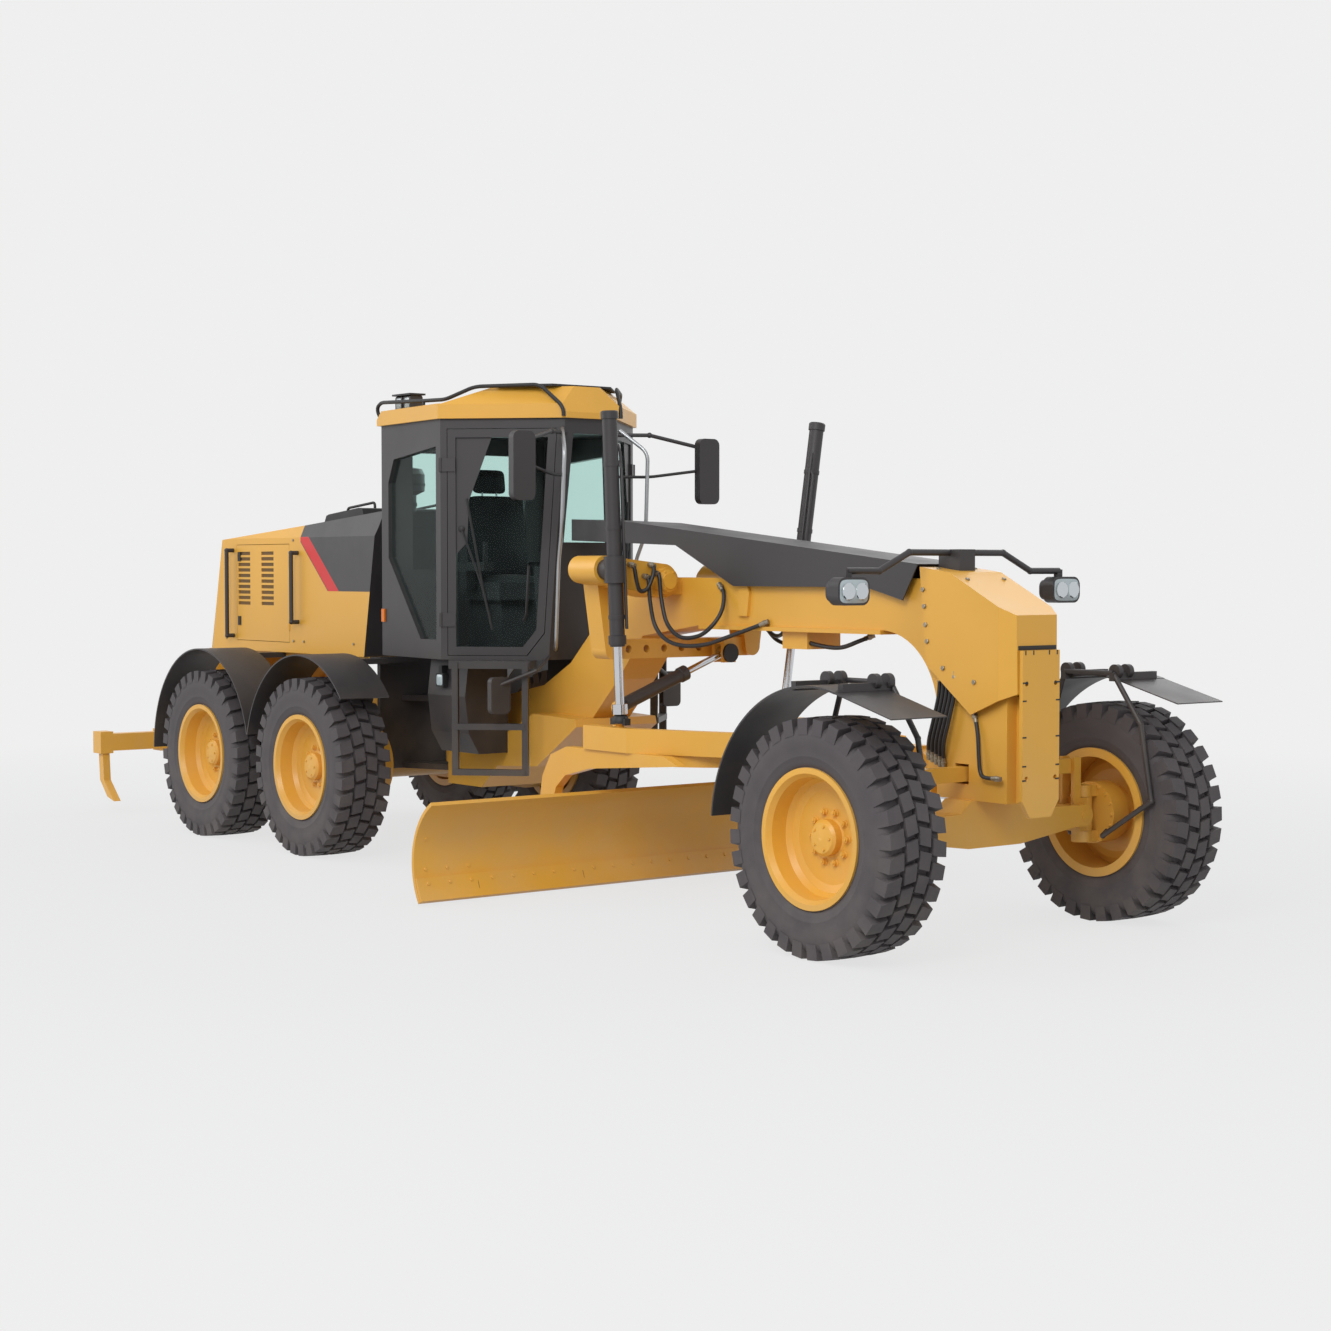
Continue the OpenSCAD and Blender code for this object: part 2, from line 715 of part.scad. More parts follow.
// Cab, measured from the front axle; its plan is a hexagon with doors at 45 degrees
cab_rear_x = -5150;
cab_hinge_x = -4220;
cab_nose_x = -3500;
cab_front = [-3705, -3625];
cab_top_z = cab_z + cab_h;
cab_plan = [[cab_rear_x, -cab_rear_half], [cab_hinge_x, -cab_mid_half],
    [cab_nose_x, -cab_mid_half + cab_nose_x - cab_hinge_x],
    [cab_nose_x, cab_mid_half - cab_nose_x + cab_hinge_x], [cab_hinge_x, cab_mid_half],
    [cab_rear_x, cab_rear_half]];
door_z = [cab_z + 30, cab_top_z - 70];
door_u = [48, [690, 785]];
hinge_r = 16;
hinge_h = 90;
hinge_z = [cab_z + 220, cab_top_z - 350];
rear_panel_angle = atan2(cab_rear_half - cab_mid_half, cab_hinge_x - cab_rear_x);
rear_panel_l = norm([cab_hinge_x - cab_rear_x, cab_mid_half - cab_rear_half]);
module cab_body(d) {
    intersection() {
        linear_extrude(5000)
            polygon(inset(cab_plan, d));
        side(-2000, 2000)
            polygon([[cab_rear_x - 10, cab_z + d], [cab_front[0] - d, cab_z + d],
                [cab_front[1] - d, cab_top_z - d], [cab_rear_x - 10, cab_top_z - d]]);
    }
}
// Place a shape drawn along a right-hand wall: x along it, y inwards, from the hinge post
module at_door() {
    translate([cab_hinge_x, -cab_mid_half, 0])
        rotate([0, 0, 45])
            children();
}
module at_rear_panel() {
    translate([cab_rear_x, -cab_rear_half, 0])
        rotate([0, 0, rear_panel_angle])
            children();
}
// Outline of a door, smaller by d all round, with a cut lower front corner
function door_outline(d) = [[door_u[0] + d, door_z[0] + d], [door_u[1][0] - 110 - d, door_z[0] + d],
    [door_u[1][0] - d + 8, door_z[0] + 150 + d], [door_u[1][1] - d, door_z[1] - d],
    [door_u[0] + d, door_z[1] - d]];
side_window = [[110, cab_z + 680], [620, cab_z + 130], [rear_panel_l - 70, cab_z + 130],
    [rear_panel_l - 70, cab_top_z - 180], [200, cab_top_z - 240], [110, cab_top_z - 400]];
rear_window = [[-480, cab_z + 600], [480, cab_z + 600], [480, cab_top_z - 180], [-480, cab_top_z - 180]];
front_window = [[-190, cab_z + 780], [190, cab_z + 780], [135, cab_top_z - 100], [-135, cab_top_z - 100]];
module cab_shell() {
    color(dark)
        translate([cab_x, 0, 0])
            difference() {
                cab_body(0);
                cab_body(cab_t);
                both()
                    at_door()
                        side(-1, cab_t + 120)
                            polygon(door_outline(-4));
                both()
                    at_rear_panel()
                        side(-1, cab_t + 30)
                            polygon(side_window);
                across(cab_rear_x - 1, cab_rear_x + cab_t + 1)
                    polygon(rear_window);
                across(cab_front[0] - cab_t - 40, 0)
                    polygon(front_window);
                both()
                    for (z = hinge_z)
                        translate([cab_hinge_x, -cab_mid_half, z - clear])
                            cylinder(h = hinge_h + 2 * clear, r = hinge_r + clear);
            }
}
module cab_glass() {
    mid = (cab_t - glass_t) / 2;
    color(tint)
        translate([cab_x, 0, 0]) {
            both()
                at_rear_panel()
                    side(mid, mid + glass_t)
                        offset(delta = -clear)
                            polygon(side_window);
            across(cab_rear_x + mid, cab_rear_x + mid + glass_t)
                offset(delta = -clear)
                    polygon(rear_window);
            intersection() {
                across(-4000, -3000)
                    offset(delta = -clear)
                        polygon(front_window);
                side(-400, 400)
                    polygon([[cab_front[0] - mid - glass_t, cab_z], [cab_front[0] - mid, cab_z],
                        [cab_front[1] - mid, cab_top_z], [cab_front[1] - mid - glass_t, cab_top_z]]);
            }
        }
}
door_frame = 55;
module door() {
    at_door()
        difference() {
            side(0, cab_t)
                polygon(door_outline(0));
            side(-1, cab_t + 1)
                polygon(inset(door_outline(0), door_frame));
        }
    // Hinge barrels on the post, with their straps
    at_door()
        for (z = hinge_z) {
            translate([0, 0, z])
                cylinder(h = hinge_h, r = hinge_r);
            box([0, door_u[0] + door_frame], [-10, 0], [z, z + hinge_h]);
            box([door_u[0], door_u[0] + door_frame - 5], [-10, 5], [z, z + hinge_h]);
        }
}
module door_glass() {
    mid = (cab_t - glass_t) / 2;
    at_door()
        side(mid, mid + glass_t)
            polygon(inset(door_outline(0), door_frame + clear));
}
module door_right() {
    color(dark)
        translate([cab_x, 0, 0])
            door();
}
module door_left() {
    color(dark)
        translate([cab_x, 0, 0])
            mirror([0, 1, 0])
                door();
}
module door_glass_right() {
    color(tint)
        translate([cab_x, 0, 0])
            door_glass();
}
module door_glass_left() {
    color(tint)
        translate([cab_x, 0, 0])
            mirror([0, 1, 0])
                door_glass();
}
roof_plan = inset(cab_plan, -25);
roof_h = 215;
roof_low_h = 100;
module cab_roof() {
    color(yellow)
        translate([cab_x, 0, 0])
            intersection() {
                linear_extrude(5000)
                    polygon(roof_plan);
                side(-2000, 2000)
                    polygon([[cab_rear_x - 30, cab_top_z], [cab_front[1] + 30, cab_top_z],
                        [cab_front[1] + 30, cab_top_z + 40], [cab_front[1] - 40, cab_top_z + roof_h],
                        [-4050, cab_top_z + roof_h], [-4200, cab_top_z + roof_low_h],
                        [-5100, cab_top_z + roof_low_h], [cab_rear_x - 30, cab_top_z + 40]]);
                // The hump's edges over the doors are bevelled
                difference() {
                    translate([cab_rear_x - 100, -1000, cab_top_z])
                        cube([2000, 2000, 400]);
                    both()
                        at_door()
                            across(-400, 1200)
                                polygon([[-60, cab_top_z + 60], [120, cab_top_z + roof_h + 20],
                                    [-60, cab_top_z + roof_h + 20]]);
                }
            }
}
module cab_interior() {
    floor_z = cab_z + cab_t;
    color(dark)
        translate([cab_x, 0, 0]) {
            // Seat
            box([-4800, -4400], [-200, 200], [floor_z, floor_z + 330]);
            box([-4850, -4330], [-260, 260], [floor_z + 330, floor_z + 450]);
            side(-250, 250)
                polygon([[-4850, floor_z + 450], [-4720, floor_z + 450], [-4800, floor_z + 1050],
                    [-4890, floor_z + 1050]]);
            // Arm pods with a stick on each
            both() {
                box([-4700, -4620], [250, 340], [floor_z + 390, floor_z + 540]);
                box([-4760, -4390], [270, 350], [floor_z + 530, floor_z + 590]);
                translate([-4430, 310, floor_z + 580])
                    cylinder(h = 150, r = 17);
            }
            // Control column
            across(-4080, -3960)
                polygon([[-110, floor_z], [110, floor_z], [150, floor_z + 560], [-150, floor_z + 560]]);
        }
}
ladder = [[-3950, -860], [-3620, -530]];
ladder_z = [650, cab_z - 10];
module steps_and_tanks() {
    color(dark)
        translate([cab_x, 0, 0])
            both() {
                for (p = ladder)
                    translate([p.x, p.y, ladder_z[0]])
                        rotate([0, 0, 45])
                            translate([-20, -25, 0])
                                cube([40, 50, ladder_z[1] - ladder_z[0]]);
                for (z = [ladder_z[0], ladder_z[0] + 300])
                    translate([ladder[0].x, ladder[0].y, z])
                        rotate([0, 0, 45])
                            translate([0, -30, 0])
                                cube([norm(ladder[1] - ladder[0]), 60, 40]);
                // Sill under the door that carries the ladder
                translate([0, 0, ladder_z[1] - 40])
                    linear_extrude(50)
                        polygon([[-4190, -760], [-3970, -900], [-3590, -520], [-3760, -345]]);
                // Tank behind the ladder
                across(-4600, -4130)
                    polygon([[-330, 760], [-560, 760], [-640, 900], [-670, 1150], [-640, cab_z],
                        [-330, cab_z]]);
            }
}
mirror_at = [-3290, 753];
mirror_z = [cab_top_z - 560, cab_top_z - 120];
module mirrors() {
    color(dark)
        translate([cab_x, 0, 0])
            both() {
                tube([[-3640, 190, mirror_z[1] + 20], [-3500, 400, mirror_z[1] + 20],
                    [mirror_at.x - 32, mirror_at.y + 20, mirror_z[1] - 75]], 13, 1.45);
                across(mirror_at.x - 60, mirror_at.x - 5)
                    rounded([mirror_at.y - 85, mirror_at.y + 85], mirror_z, 45);
                tube([[-3730, 255, cab_z + 30], [-3540, 500, cab_z - 60], [-3668, 725, 1240]], 12);
                across(-3690, -3645)
                    rounded([630, 780], [1060, 1300], 35);
            }
}
cover_t = 8;
cover_half = 200;
cover_rear_x = cab_shift - 3560;
cover_outline = [[cover_rear_x, 2190], [-2450, 2150], [-1885, 1900], [-712, 1900], [-420, 1830],
    [-300, 2030], [-2900, 2300], [cover_rear_x, 2330]];
module frame_cover() {
    color(dark) {
        translate([front_x, 0, 0])
            difference() {
                side(-cover_half, cover_half)
                    polygon(cover_outline);
                side(-cover_half + cover_t, cover_half - cover_t)
                    polygon([[cover_rear_x - 140, 1700], [-200, 1700], [-200, 2010], [-2900, 2300 - cover_t],
                        [cover_rear_x - 140, 2335 - cover_t]]);
            }
        // Ribs that stand on the frame's sides
        translate([front_x, 0, 0])
            both()
                for (x = [-1700, -900])
                    box([x, x + 20], [half_beam, cover_half - cover_t + 1], [1905, 1945]);
    }
}
nose_outline = [[-285, 2014], [-230, 1480], [106, 1225], [400, 1345], [395, 1760], [-60, 1985]];
nose_plan = [[-500, -cover_half], [310, -cover_half], [420, -cover_half + 60], [420, cover_half - 60],
    [310, cover_half], [-500, cover_half]];
module nose_cover() {
    color(yellow) {
        translate([front_x, 0, 0])
            difference() {
                intersection() {
                    side(-cover_half, cover_half)
                        polygon(nose_outline);
                    linear_extrude(3000)
                        polygon(nose_plan);
                }
                intersection() {
                    side(-cover_half + cover_t, cover_half - cover_t)
                        polygon([[-400, 2014 - 4 * cover_t], [-400, 1000], [380, 1000],
                            [395 - cover_t, 1760 - cover_t], [-60, 1985 - cover_t]]);
                    linear_extrude(3000)
                        polygon(inset(nose_plan, cover_t));
                }
            }
        translate([front_x, 0, 0])
            both()
                for (x = [-150, 100])
                    box([x, x + 20], [half_beam, cover_half - cover_t + 1], [1400, 1700]);
    }
}
lamp_at = [-200, 815, 1885];
module headlamps() {
    color(lens)
        translate([front_x, 0, 0]) {
            both() {
                tube([[lamp_at.x, 30, 2092], [lamp_at.x, 360, 2092], [lamp_at.x, 580, 1992],
                    [lamp_at.x, lamp_at.y, 1992]], 18);
                across(lamp_at.x - 20, lamp_at.x + 60)
                    rounded([lamp_at.y - 112, lamp_at.y + 112], [lamp_at.z - 74, lamp_at.z + 74], 50);
                across(lamp_at.x - 75, lamp_at.x - 20)
                    rounded([lamp_at.y - 80, lamp_at.y + 80], [lamp_at.z - 56, lamp_at.z + 56], 40);
                box([lamp_at.x - 15, lamp_at.x + 15], [lamp_at.y - 25, lamp_at.y + 15], [1940, 2000]);
                // Twin work lamps on the rear of the roof
                for (x = [-5060, -4950])
                    translate([cab_shift, 0, cab_top_z + roof_low_h])
                        across(x, x + 90)
                            rounded([540, 640], [0, 105], 18);
            }
            box([lamp_at.x - 80, lamp_at.x + 80], [-60, 60], [1990, 2110]);
        }
}

// Lift arms and link bar, measured from the front axle
lift_x = -2350;
lift_pin_y = 740;
lift_pin_z = 2000;
lift_ball_y = [-700, 600];
lift_ball_z = 1080;
lift_ball_r = 38;
link_z = [1445, 1565];
shift_pin = [-2550, 270, 1470];
saddle_x = [-2760, -2450];
crank_pivot = [290, 1930];
crank_x = [saddle_x[0] + 40, saddle_x[1]];
link_end = [560, 1505];
link_hole_r = 24;
module lift_arms() {
    color(yellow)
        translate([front_x, 0, 0]) {
            both() {
                // Saddle on the frame, with the crank's pivot boss
                box(saddle_x, [half_beam, crank_pivot.x], [1845, 1948]);
                x_cyl(crank_pivot.x, crank_pivot.y, saddle_x[0], saddle_x[1] + 40, 82);
                // Crank: an arm out to the cylinder and a leg down to the link bar
                across(crank_x[0], crank_x[1]) {
                    translate(crank_pivot)
                        circle(r = 105);
                    translate([lift_pin_y, lift_pin_z])
                        circle(r = 84);
                    polygon([[270, 2033], [735, 2083], [755, 1918], [310, 1827]]);
                }
                across(saddle_x[0], saddle_x[0] + 150) {
                    translate(link_end)
                        circle(r = 60);
                    polygon([[link_end.x - 59, link_end.y], [link_end.x + 59, link_end.y], [690, 1975],
                        [440, 1930]]);
                }
                x_cyl(lift_pin_y, lift_pin_z, saddle_x[1] - 20, lift_x - lift_barrel_r - 8, 35);
            }
            // Link bar with its row of lock-pin holes
            difference() {
                box([saddle_x[0], saddle_x[0] + 120], [-link_end.x, link_end.x], link_z);
                for (y = [-420 : 140 : 420])
                    if (abs(y - shift_pin.y) > 90)
                        x_cyl(y, link_end.y, saddle_x[0] - 1, saddle_x[0] + 121, link_hole_r);
            }
            for (x = [shift_pin.x - 60, shift_pin.x + 32])
                box([x, x + 28], [shift_pin.y - 50, shift_pin.y + 50], [shift_pin.z - 60, link_z[1]]);
            box([saddle_x[0] + 100, shift_pin.x + 60], [shift_pin.y - 50, shift_pin.y + 50],
                [shift_pin.z + 55, link_z[1]]);
            x_cyl(shift_pin.y, shift_pin.z, shift_pin.x - 60, shift_pin.x + 60, 22);
        }
}
// Lift cylinders: a frame with its origin at the trunnion and +Z up the barrel
module lift_frame(i) {
    s = i == 0 ? -1 : 1;
    d = [0, s * lift_pin_y - lift_ball_y[i], lift_pin_z - lift_ball_z];
    translate([front_x + lift_x, s * lift_pin_y, lift_pin_z])
        rotate([-atan2(d.y, d.z), 0, 0])
            children();
}
lift_l = lift_pin_z - lift_ball_z;
module lift_barrel(i) {
    color(dark)
        lift_frame(i)
            difference() {
                union() {
                    translate([0, 0, -465])
                        cylinder(h = 1415, r = lift_barrel_r);
                    x_cyl(0, 0, saddle_x[1] - lift_x + clear, 0, 62);
                    translate([0, 0, -80])
                        cylinder(h = 160, r = 66);
                }
                translate([0, 0, -490])
                    cylinder(h = 1350, r = lift_rod_r + clear);
                x_cyl(0, 0, saddle_x[1] - lift_x - 1, -lift_barrel_r - 4, 35 + clear);
            }
}
module lift_rod(i) {
    color(steel)
        lift_frame(i) {
            translate([0, 0, -lift_l + lift_ball_r + 30])
                cylinder(h = 1150, r = lift_rod_r);
            translate([0, 0, -lift_l + lift_ball_r + 7])
                cylinder(h = 60, r = 46);
        }
}
// Centre-shift cylinder: a frame with its origin at the link bar's pin, +Z towards the drawbar
shift_foot = [-2550, -520, 1170];
shift_l = norm(shift_foot - shift_pin);
module shift_frame() {
    d = shift_foot - shift_pin;
    translate([front_x + shift_pin.x, shift_pin.y, shift_pin.z])
        rotate([-atan2(d.y, d.z), 0, 0])
            children();
}
module shift_rod() {
    color(steel)
        shift_frame()
            difference() {
                union() {
                    x_cyl(0, 0, -31, 31, 42);
                    translate([0, 0, 20])
                        cylinder(h = shift_l - 225, r = 22);
                }
                x_cyl(0, 0, -40, 40, 22 + clear);
            }
}
module shift_barrel() {
    color(dark)
        shift_frame()
            difference() {
                translate([0, 0, 330])
                    cylinder(h = shift_l - 330, r = 42);
                translate([0, 0, 320])
                    cylinder(h = shift_l - 350, r = 22 + clear);
            }
}

// Drawbar and circle, measured from the front axle
ball_x = -300;
ball_z = 800;
ball_r = 70;
circle_x = -2300;
circle_z = 830;
drawbar_z = [circle_z + circle_h + clear, circle_z + circle_h + 45];
module drawbar_ball() {
    color(steel)
        translate([front_x + ball_x, 0, ball_z])
            rotate([-90, 0, 0])
                rotate_extrude($fn = 96)
                    intersection() {
                        circle(r = ball_r, $fn = 96);
                        translate([30 + clear, -ball_r + 12])
                            square([ball_r, 2 * ball_r - 24]);
                    }
}
drawbar_rear_x = -2640;
module drawbar() {
    top = lift_ball_z - lift_ball_r + 5;
    color(yellow)
        translate([front_x, 0, 0]) {
            difference() {
                translate([0, 0, drawbar_z[0]])
                    linear_extrude(drawbar_z[1] - drawbar_z[0])
                        polygon([[drawbar_rear_x, -760], [drawbar_rear_x + 420, -760], [-950, -240],
                            [-950, 240], [drawbar_rear_x + 420, 760], [drawbar_rear_x, 760]]);
                translate([-1620, 0, 0])
                    cylinder(h = 2000, r = 170);
            }
            both()
                translate([0, 0, drawbar_z[0]])
                    linear_extrude(top - drawbar_z[0])
                        polygon([[drawbar_rear_x, 690], [drawbar_rear_x + 420, 690], [-900, 160],
                            [-760, 160], [drawbar_rear_x + 440, 770], [drawbar_rear_x, 770]]);
            // Neck to the ball, with the cross pin
            box([-960, -560], [-160, 160], [drawbar_z[0], drawbar_z[1] + 60]);
            both()
                side(78, 130)
                    polygon([[-600, drawbar_z[0]], [ball_x - 40, ball_z - 45], [ball_x + 40, ball_z - 45],
                        [ball_x + 40, ball_z + 32], [ball_x - 40, ball_z + 32], [-560, drawbar_z[1] + 40]]);
            y_cyl(ball_x, ball_z, -130, 130, 30);
            // Balls that carry the lift rods
            for (y = lift_ball_y) {
                translate([lift_x, y, lift_ball_z])
                    sphere(r = lift_ball_r);
                translate([lift_x, y, drawbar_z[0]])
                    cylinder(h = lift_ball_z - drawbar_z[0], r = 24);
            }
        }
}
arm_y = [690, 750];
tip_pivot = [-3060, 330];
module blade_circle() {
    color(yellow)
        translate([front_x, 0, 0]) {
            translate([circle_x, 0, circle_z])
                difference() {
                    cylinder(h = circle_h, r = circle_r, $fn = 128);
                    translate([0, 0, -1])
                        cylinder(h = circle_h + 2, r = circle_r - 110, $fn = 128);
                }
            both()
                difference() {
                    union() {
                        side(arm_y[0], arm_y[1])
                            polygon([[-1720, 850], [-1850, circle_z + circle_h], [-2850, circle_z + circle_h],
                                [-3020, 840], [-3110, 700], [-3135, 560], [-3130, 330], [-2995, 330],
                                [-3015, 500], [-2960, 640], [-2860, 720], [-2600, 780]]);
                        y_cyl(tip_pivot.x, tip_pivot.y, arm_y[0], arm_y[1], 70);
                    }
                    y_cyl(tip_pivot.x, tip_pivot.y, arm_y[0] - 1, arm_y[1] + 1, 32 + clear);
                }
        }
}
// Moldboard: an arc about a line ahead of it; its back carries two rails
blade_c = [-2482, 253];
blade_a = [120, 213.5];
rail_w = 50;
rail_zs = [255, 470];
rail_x = [-2985, -2935];
module moldboard() {
    half = blade_l / 2;
    color(yellow)
        translate([front_x, 0, 0]) {
            side(-half, half)
                translate(blade_c)
                    arc_2d(blade_r, blade_r + blade_t, blade_a[0], blade_a[1]);
            side(-half + 5, half - 5)
                translate(blade_c)
                    arc_2d(blade_r - 16, blade_r + 1, 193, blade_a[1] + 0.5);
            for (z = rail_zs)
                box([rail_x[0], z > 400 ? -2850 : -2910], [-half + 130, half - 130],
                    [z - rail_w / 2, z + rail_w / 2]);
        }
}
module blade_carriage() {
    color(yellow)
        translate([front_x, 0, 0]) {
            y_cyl(tip_pivot.x, tip_pivot.y, -arm_y[1] - 10, arm_y[1] + 10, 32);
            both()
                difference() {
                    side(600, arm_y[0] - 3)
                        polygon([[-3110, 250], [-3000, 200], [-2960, 200], [-2960, 530], [-3010, 530],
                            [-3110, 420]]);
                    for (z = rail_zs)
                        box([rail_x[0] - clear, -2900], [590, arm_y[0]],
                            [z - rail_w / 2 - clear, z + rail_w / 2 + clear]);
                }
        }
}

rear_frame();
engine_block();
hood();
hood_front();
radiator_guard();
tandem_cases();
rear_fenders();
grab_rails();
engine_door_right();
engine_door_left();
tyre_node(0, -1);  // tyre_front_right
tyre_node(0, 1);  // tyre_front_left
tyre_node(1, -1);  // tyre_mid_right
tyre_node(1, 1);  // tyre_mid_left
tyre_node(2, -1);  // tyre_rear_right
tyre_node(2, 1);  // tyre_rear_left
rim_node(0, -1);  // rim_front_right
rim_node(0, 1);  // rim_front_left
rim_node(1, -1);  // rim_mid_right
rim_node(1, 1);  // rim_mid_left
rim_node(2, -1);  // rim_rear_right
rim_node(2, 1);  // rim_rear_left
front_frame();
front_axle();
cab_shell();
cab_roof();
cab_glass();
cab_interior();
steps_and_tanks();
mirrors();
frame_cover();
nose_cover();
headlamps();
lift_arms();
door_right();
door_left();
door_glass_right();
door_glass_left();
lean_yoke_right();
lean_yoke_left();
lean_bar();
knuckle_right();
knuckle_left();
front_fender_right();
front_fender_left();
drawbar_ball();
drawbar();
blade_circle();  // circle
blade_carriage();
moldboard();
lift_barrel(0);  // lift_barrel_right
lift_barrel(1);  // lift_barrel_left
lift_rod(0);  // lift_rod_right
lift_rod(1);  // lift_rod_left
shift_barrel();
shift_rod();
ripper();
ripper_barrel();
ripper_rod();
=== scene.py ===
"""Looks of an articulated motor grader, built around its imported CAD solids.

The solids give the machine its shape. This file adds the finishes, tyre tread, trim, hoses and fasteners,
and a plain studio with a camera at the photograph's place.
"""

import json
import math

import bpy
import numpy as np
from bpy.props import FloatProperty, FloatVectorProperty, PointerProperty
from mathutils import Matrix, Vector


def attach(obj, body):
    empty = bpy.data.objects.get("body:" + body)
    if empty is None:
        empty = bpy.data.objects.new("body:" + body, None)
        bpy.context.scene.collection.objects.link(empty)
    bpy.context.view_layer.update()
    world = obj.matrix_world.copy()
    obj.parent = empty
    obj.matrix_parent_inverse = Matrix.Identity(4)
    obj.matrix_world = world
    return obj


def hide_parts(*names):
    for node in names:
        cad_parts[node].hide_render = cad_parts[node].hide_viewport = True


bl_info = {
    "name": "Motor grader looks",
    "version": (1, 0, 0),
    "blender": (4, 5, 0),
    "location": "View3D > Sidebar > Grader",
    "description": "Finishes, tread, trim and stage for a motor grader",
    "category": "Object",
}

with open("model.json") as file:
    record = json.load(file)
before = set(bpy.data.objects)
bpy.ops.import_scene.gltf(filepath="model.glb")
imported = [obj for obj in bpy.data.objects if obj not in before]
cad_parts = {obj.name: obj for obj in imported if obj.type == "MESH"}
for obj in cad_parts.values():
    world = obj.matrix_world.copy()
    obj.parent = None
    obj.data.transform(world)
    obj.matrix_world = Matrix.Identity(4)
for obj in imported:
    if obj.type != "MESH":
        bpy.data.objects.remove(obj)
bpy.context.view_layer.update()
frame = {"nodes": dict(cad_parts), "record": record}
NODES = frame["nodes"]

# Stations along the machine, in metres
FRONT_X = 4.25
TANDEM_X = -1.873
AXLE_Z = 0.625
HALF_TRACK = 1.07
HOOD_HALF = 0.600
SIDES = (("right", -1.0), ("left", 1.0))
WHEELS = (("front", FRONT_X), ("mid", TANDEM_X + 0.7615), ("rear", TANDEM_X - 0.7615))


# Mesh making: every shape is a whole array of points and quads


class Build:
    """Collects point arrays and face arrays, and puts them into one mesh object at the origin."""

    def __init__(self):
        self.points = []
        self.faces = []
        self.slots = []
        self.count = 0

    def add(self, points, faces, slot=0):
        points = np.asarray(points, float).reshape(-1, 3)
        faces = np.asarray(faces, int)
        self.points.append(points)
        self.faces.append(faces + self.count)
        self.slots.append(np.full(len(faces), slot))
        self.count += len(points)
        return self

    def prism(self, outline, origin, right, up, depth, slot=0):
        """A flat outline with thickness: origin + a * right + b * up, from 0 to depth along right x up."""
        outline = np.asarray(outline, float)
        right, up = np.asarray(right, float), np.asarray(up, float)
        back = np.asarray(origin, float) + outline[:, :1] * right + outline[:, 1:] * up
        n = len(outline)
        k = np.arange(n)
        first = self.count
        self.add(np.concatenate([back, back + depth * np.cross(right, up)]),
                 np.stack([k, (k + 1) % n, (k + 1) % n + n, k + n], -1), slot)
        self.faces.append(np.stack([k[::-1], k + n]) + first)
        self.slots.append(np.full(2, slot))
        return self

    def object(self, name, body, materials, slot, smooth=40.0, replaces=()):
        mesh = bpy.data.meshes.new(name)
        corners = np.concatenate([f.ravel() for f in self.faces])
        sizes = np.concatenate([np.full(len(f), f.shape[1]) for f in self.faces])
        mesh.vertices.add(self.count)
        mesh.vertices.foreach_set("co", np.concatenate(self.points).ravel())
        mesh.loops.add(len(corners))
        mesh.loops.foreach_set("vertex_index", corners)
        mesh.polygons.add(len(sizes))
        mesh.polygons.foreach_set("loop_start", np.concatenate([[0], np.cumsum(sizes)[:-1]]))
        mesh.polygons.foreach_set("material_index", np.concatenate(self.slots))
        mesh.update(calc_edges=True)
        mesh.validate()
        for material in materials:
            mesh.materials.append(material)
        mesh.polygons.foreach_set("use_smooth", np.ones(len(mesh.polygons), bool))
        mesh.set_sharp_from_angle(angle=math.radians(smooth))
        piece = bpy.data.objects.new(name, mesh)
        bpy.context.scene.collection.objects.link(piece)
        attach(piece, body)
        if replaces:
            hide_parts(*replaces)
        return piece


def unit(v):
    """Vectors scaled to length one along the last axis."""
    v = np.asarray(v, float)
    return v / np.linalg.norm(v, axis=-1, keepdims=True)


def grid_faces(rows, columns, wrap_rows=False, wrap_columns=False):
    """Quads between neighbours of a rows by columns grid of points, joined round where it wraps."""
    index = np.arange(rows * columns).reshape(rows, columns)
    a = np.concatenate([index, index[:1]]) if wrap_rows else index
    a = np.concatenate([a, a[:, :1]], axis=1) if wrap_columns else a
    return np.stack([a[:-1, :-1], a[1:, :-1], a[1:, 1:], a[:-1, 1:]], -1).reshape(-1, 4)


BOX_CORNERS = np.array([[x, y, z] for x in (-1, 1) for y in (-1, 1) for z in (-1, 1)], float)
BOX_FACES = np.array([[0, 1, 3, 2], [4, 6, 7, 5], [0, 4, 5, 1], [2, 3, 7, 6], [0, 2, 6, 4], [1, 5, 7, 3]])


def repeat_faces(faces, count, size):
    """The same faces for each of count copies of a shape of size points."""
    return (faces[None] + (np.arange(count) * size)[:, None, None]).reshape(-1, faces.shape[1])


def boxes(centres, halves, axes=None):
    """Boxes at centres, each half as long as halves along its own three axes."""
    centres = np.atleast_2d(np.asarray(centres, float))
    count = len(centres)
    halves = np.broadcast_to(np.asarray(halves, float), (count, 3))
    axes = np.broadcast_to(np.eye(3) if axes is None else np.asarray(axes, float), (count, 3, 3))
    local = BOX_CORNERS[None] * halves[:, None]
    points = centres[:, None] + np.einsum("nck,nkj->ncj", local, axes)
    return points, repeat_faces(BOX_FACES, count, 8)


def lathe(profile, centre, axis, segments):
    """A profile of (radius, height) pairs turned round an axis: centre + height * axis + radius * spoke."""
    profile = np.asarray(profile, float)
    axis = unit(axis)
    side = unit(np.cross(axis, (0.31, 0.12, 0.94) if abs(axis[2]) < 0.9 else (1.0, 0.0, 0.0)))
    other = np.cross(axis, side)
    turn = np.linspace(0, 2 * np.pi, segments, endpoint=False)
    spoke = np.cos(turn)[:, None] * side + np.sin(turn)[:, None] * other
    rise, reach = profile[None, :, 1:2], profile[None, :, :1]
    points = np.asarray(centre, float) + rise * axis + reach * spoke[:, None]
    return points.reshape(-1, 3), grid_faces(segments, len(profile), wrap_rows=True)


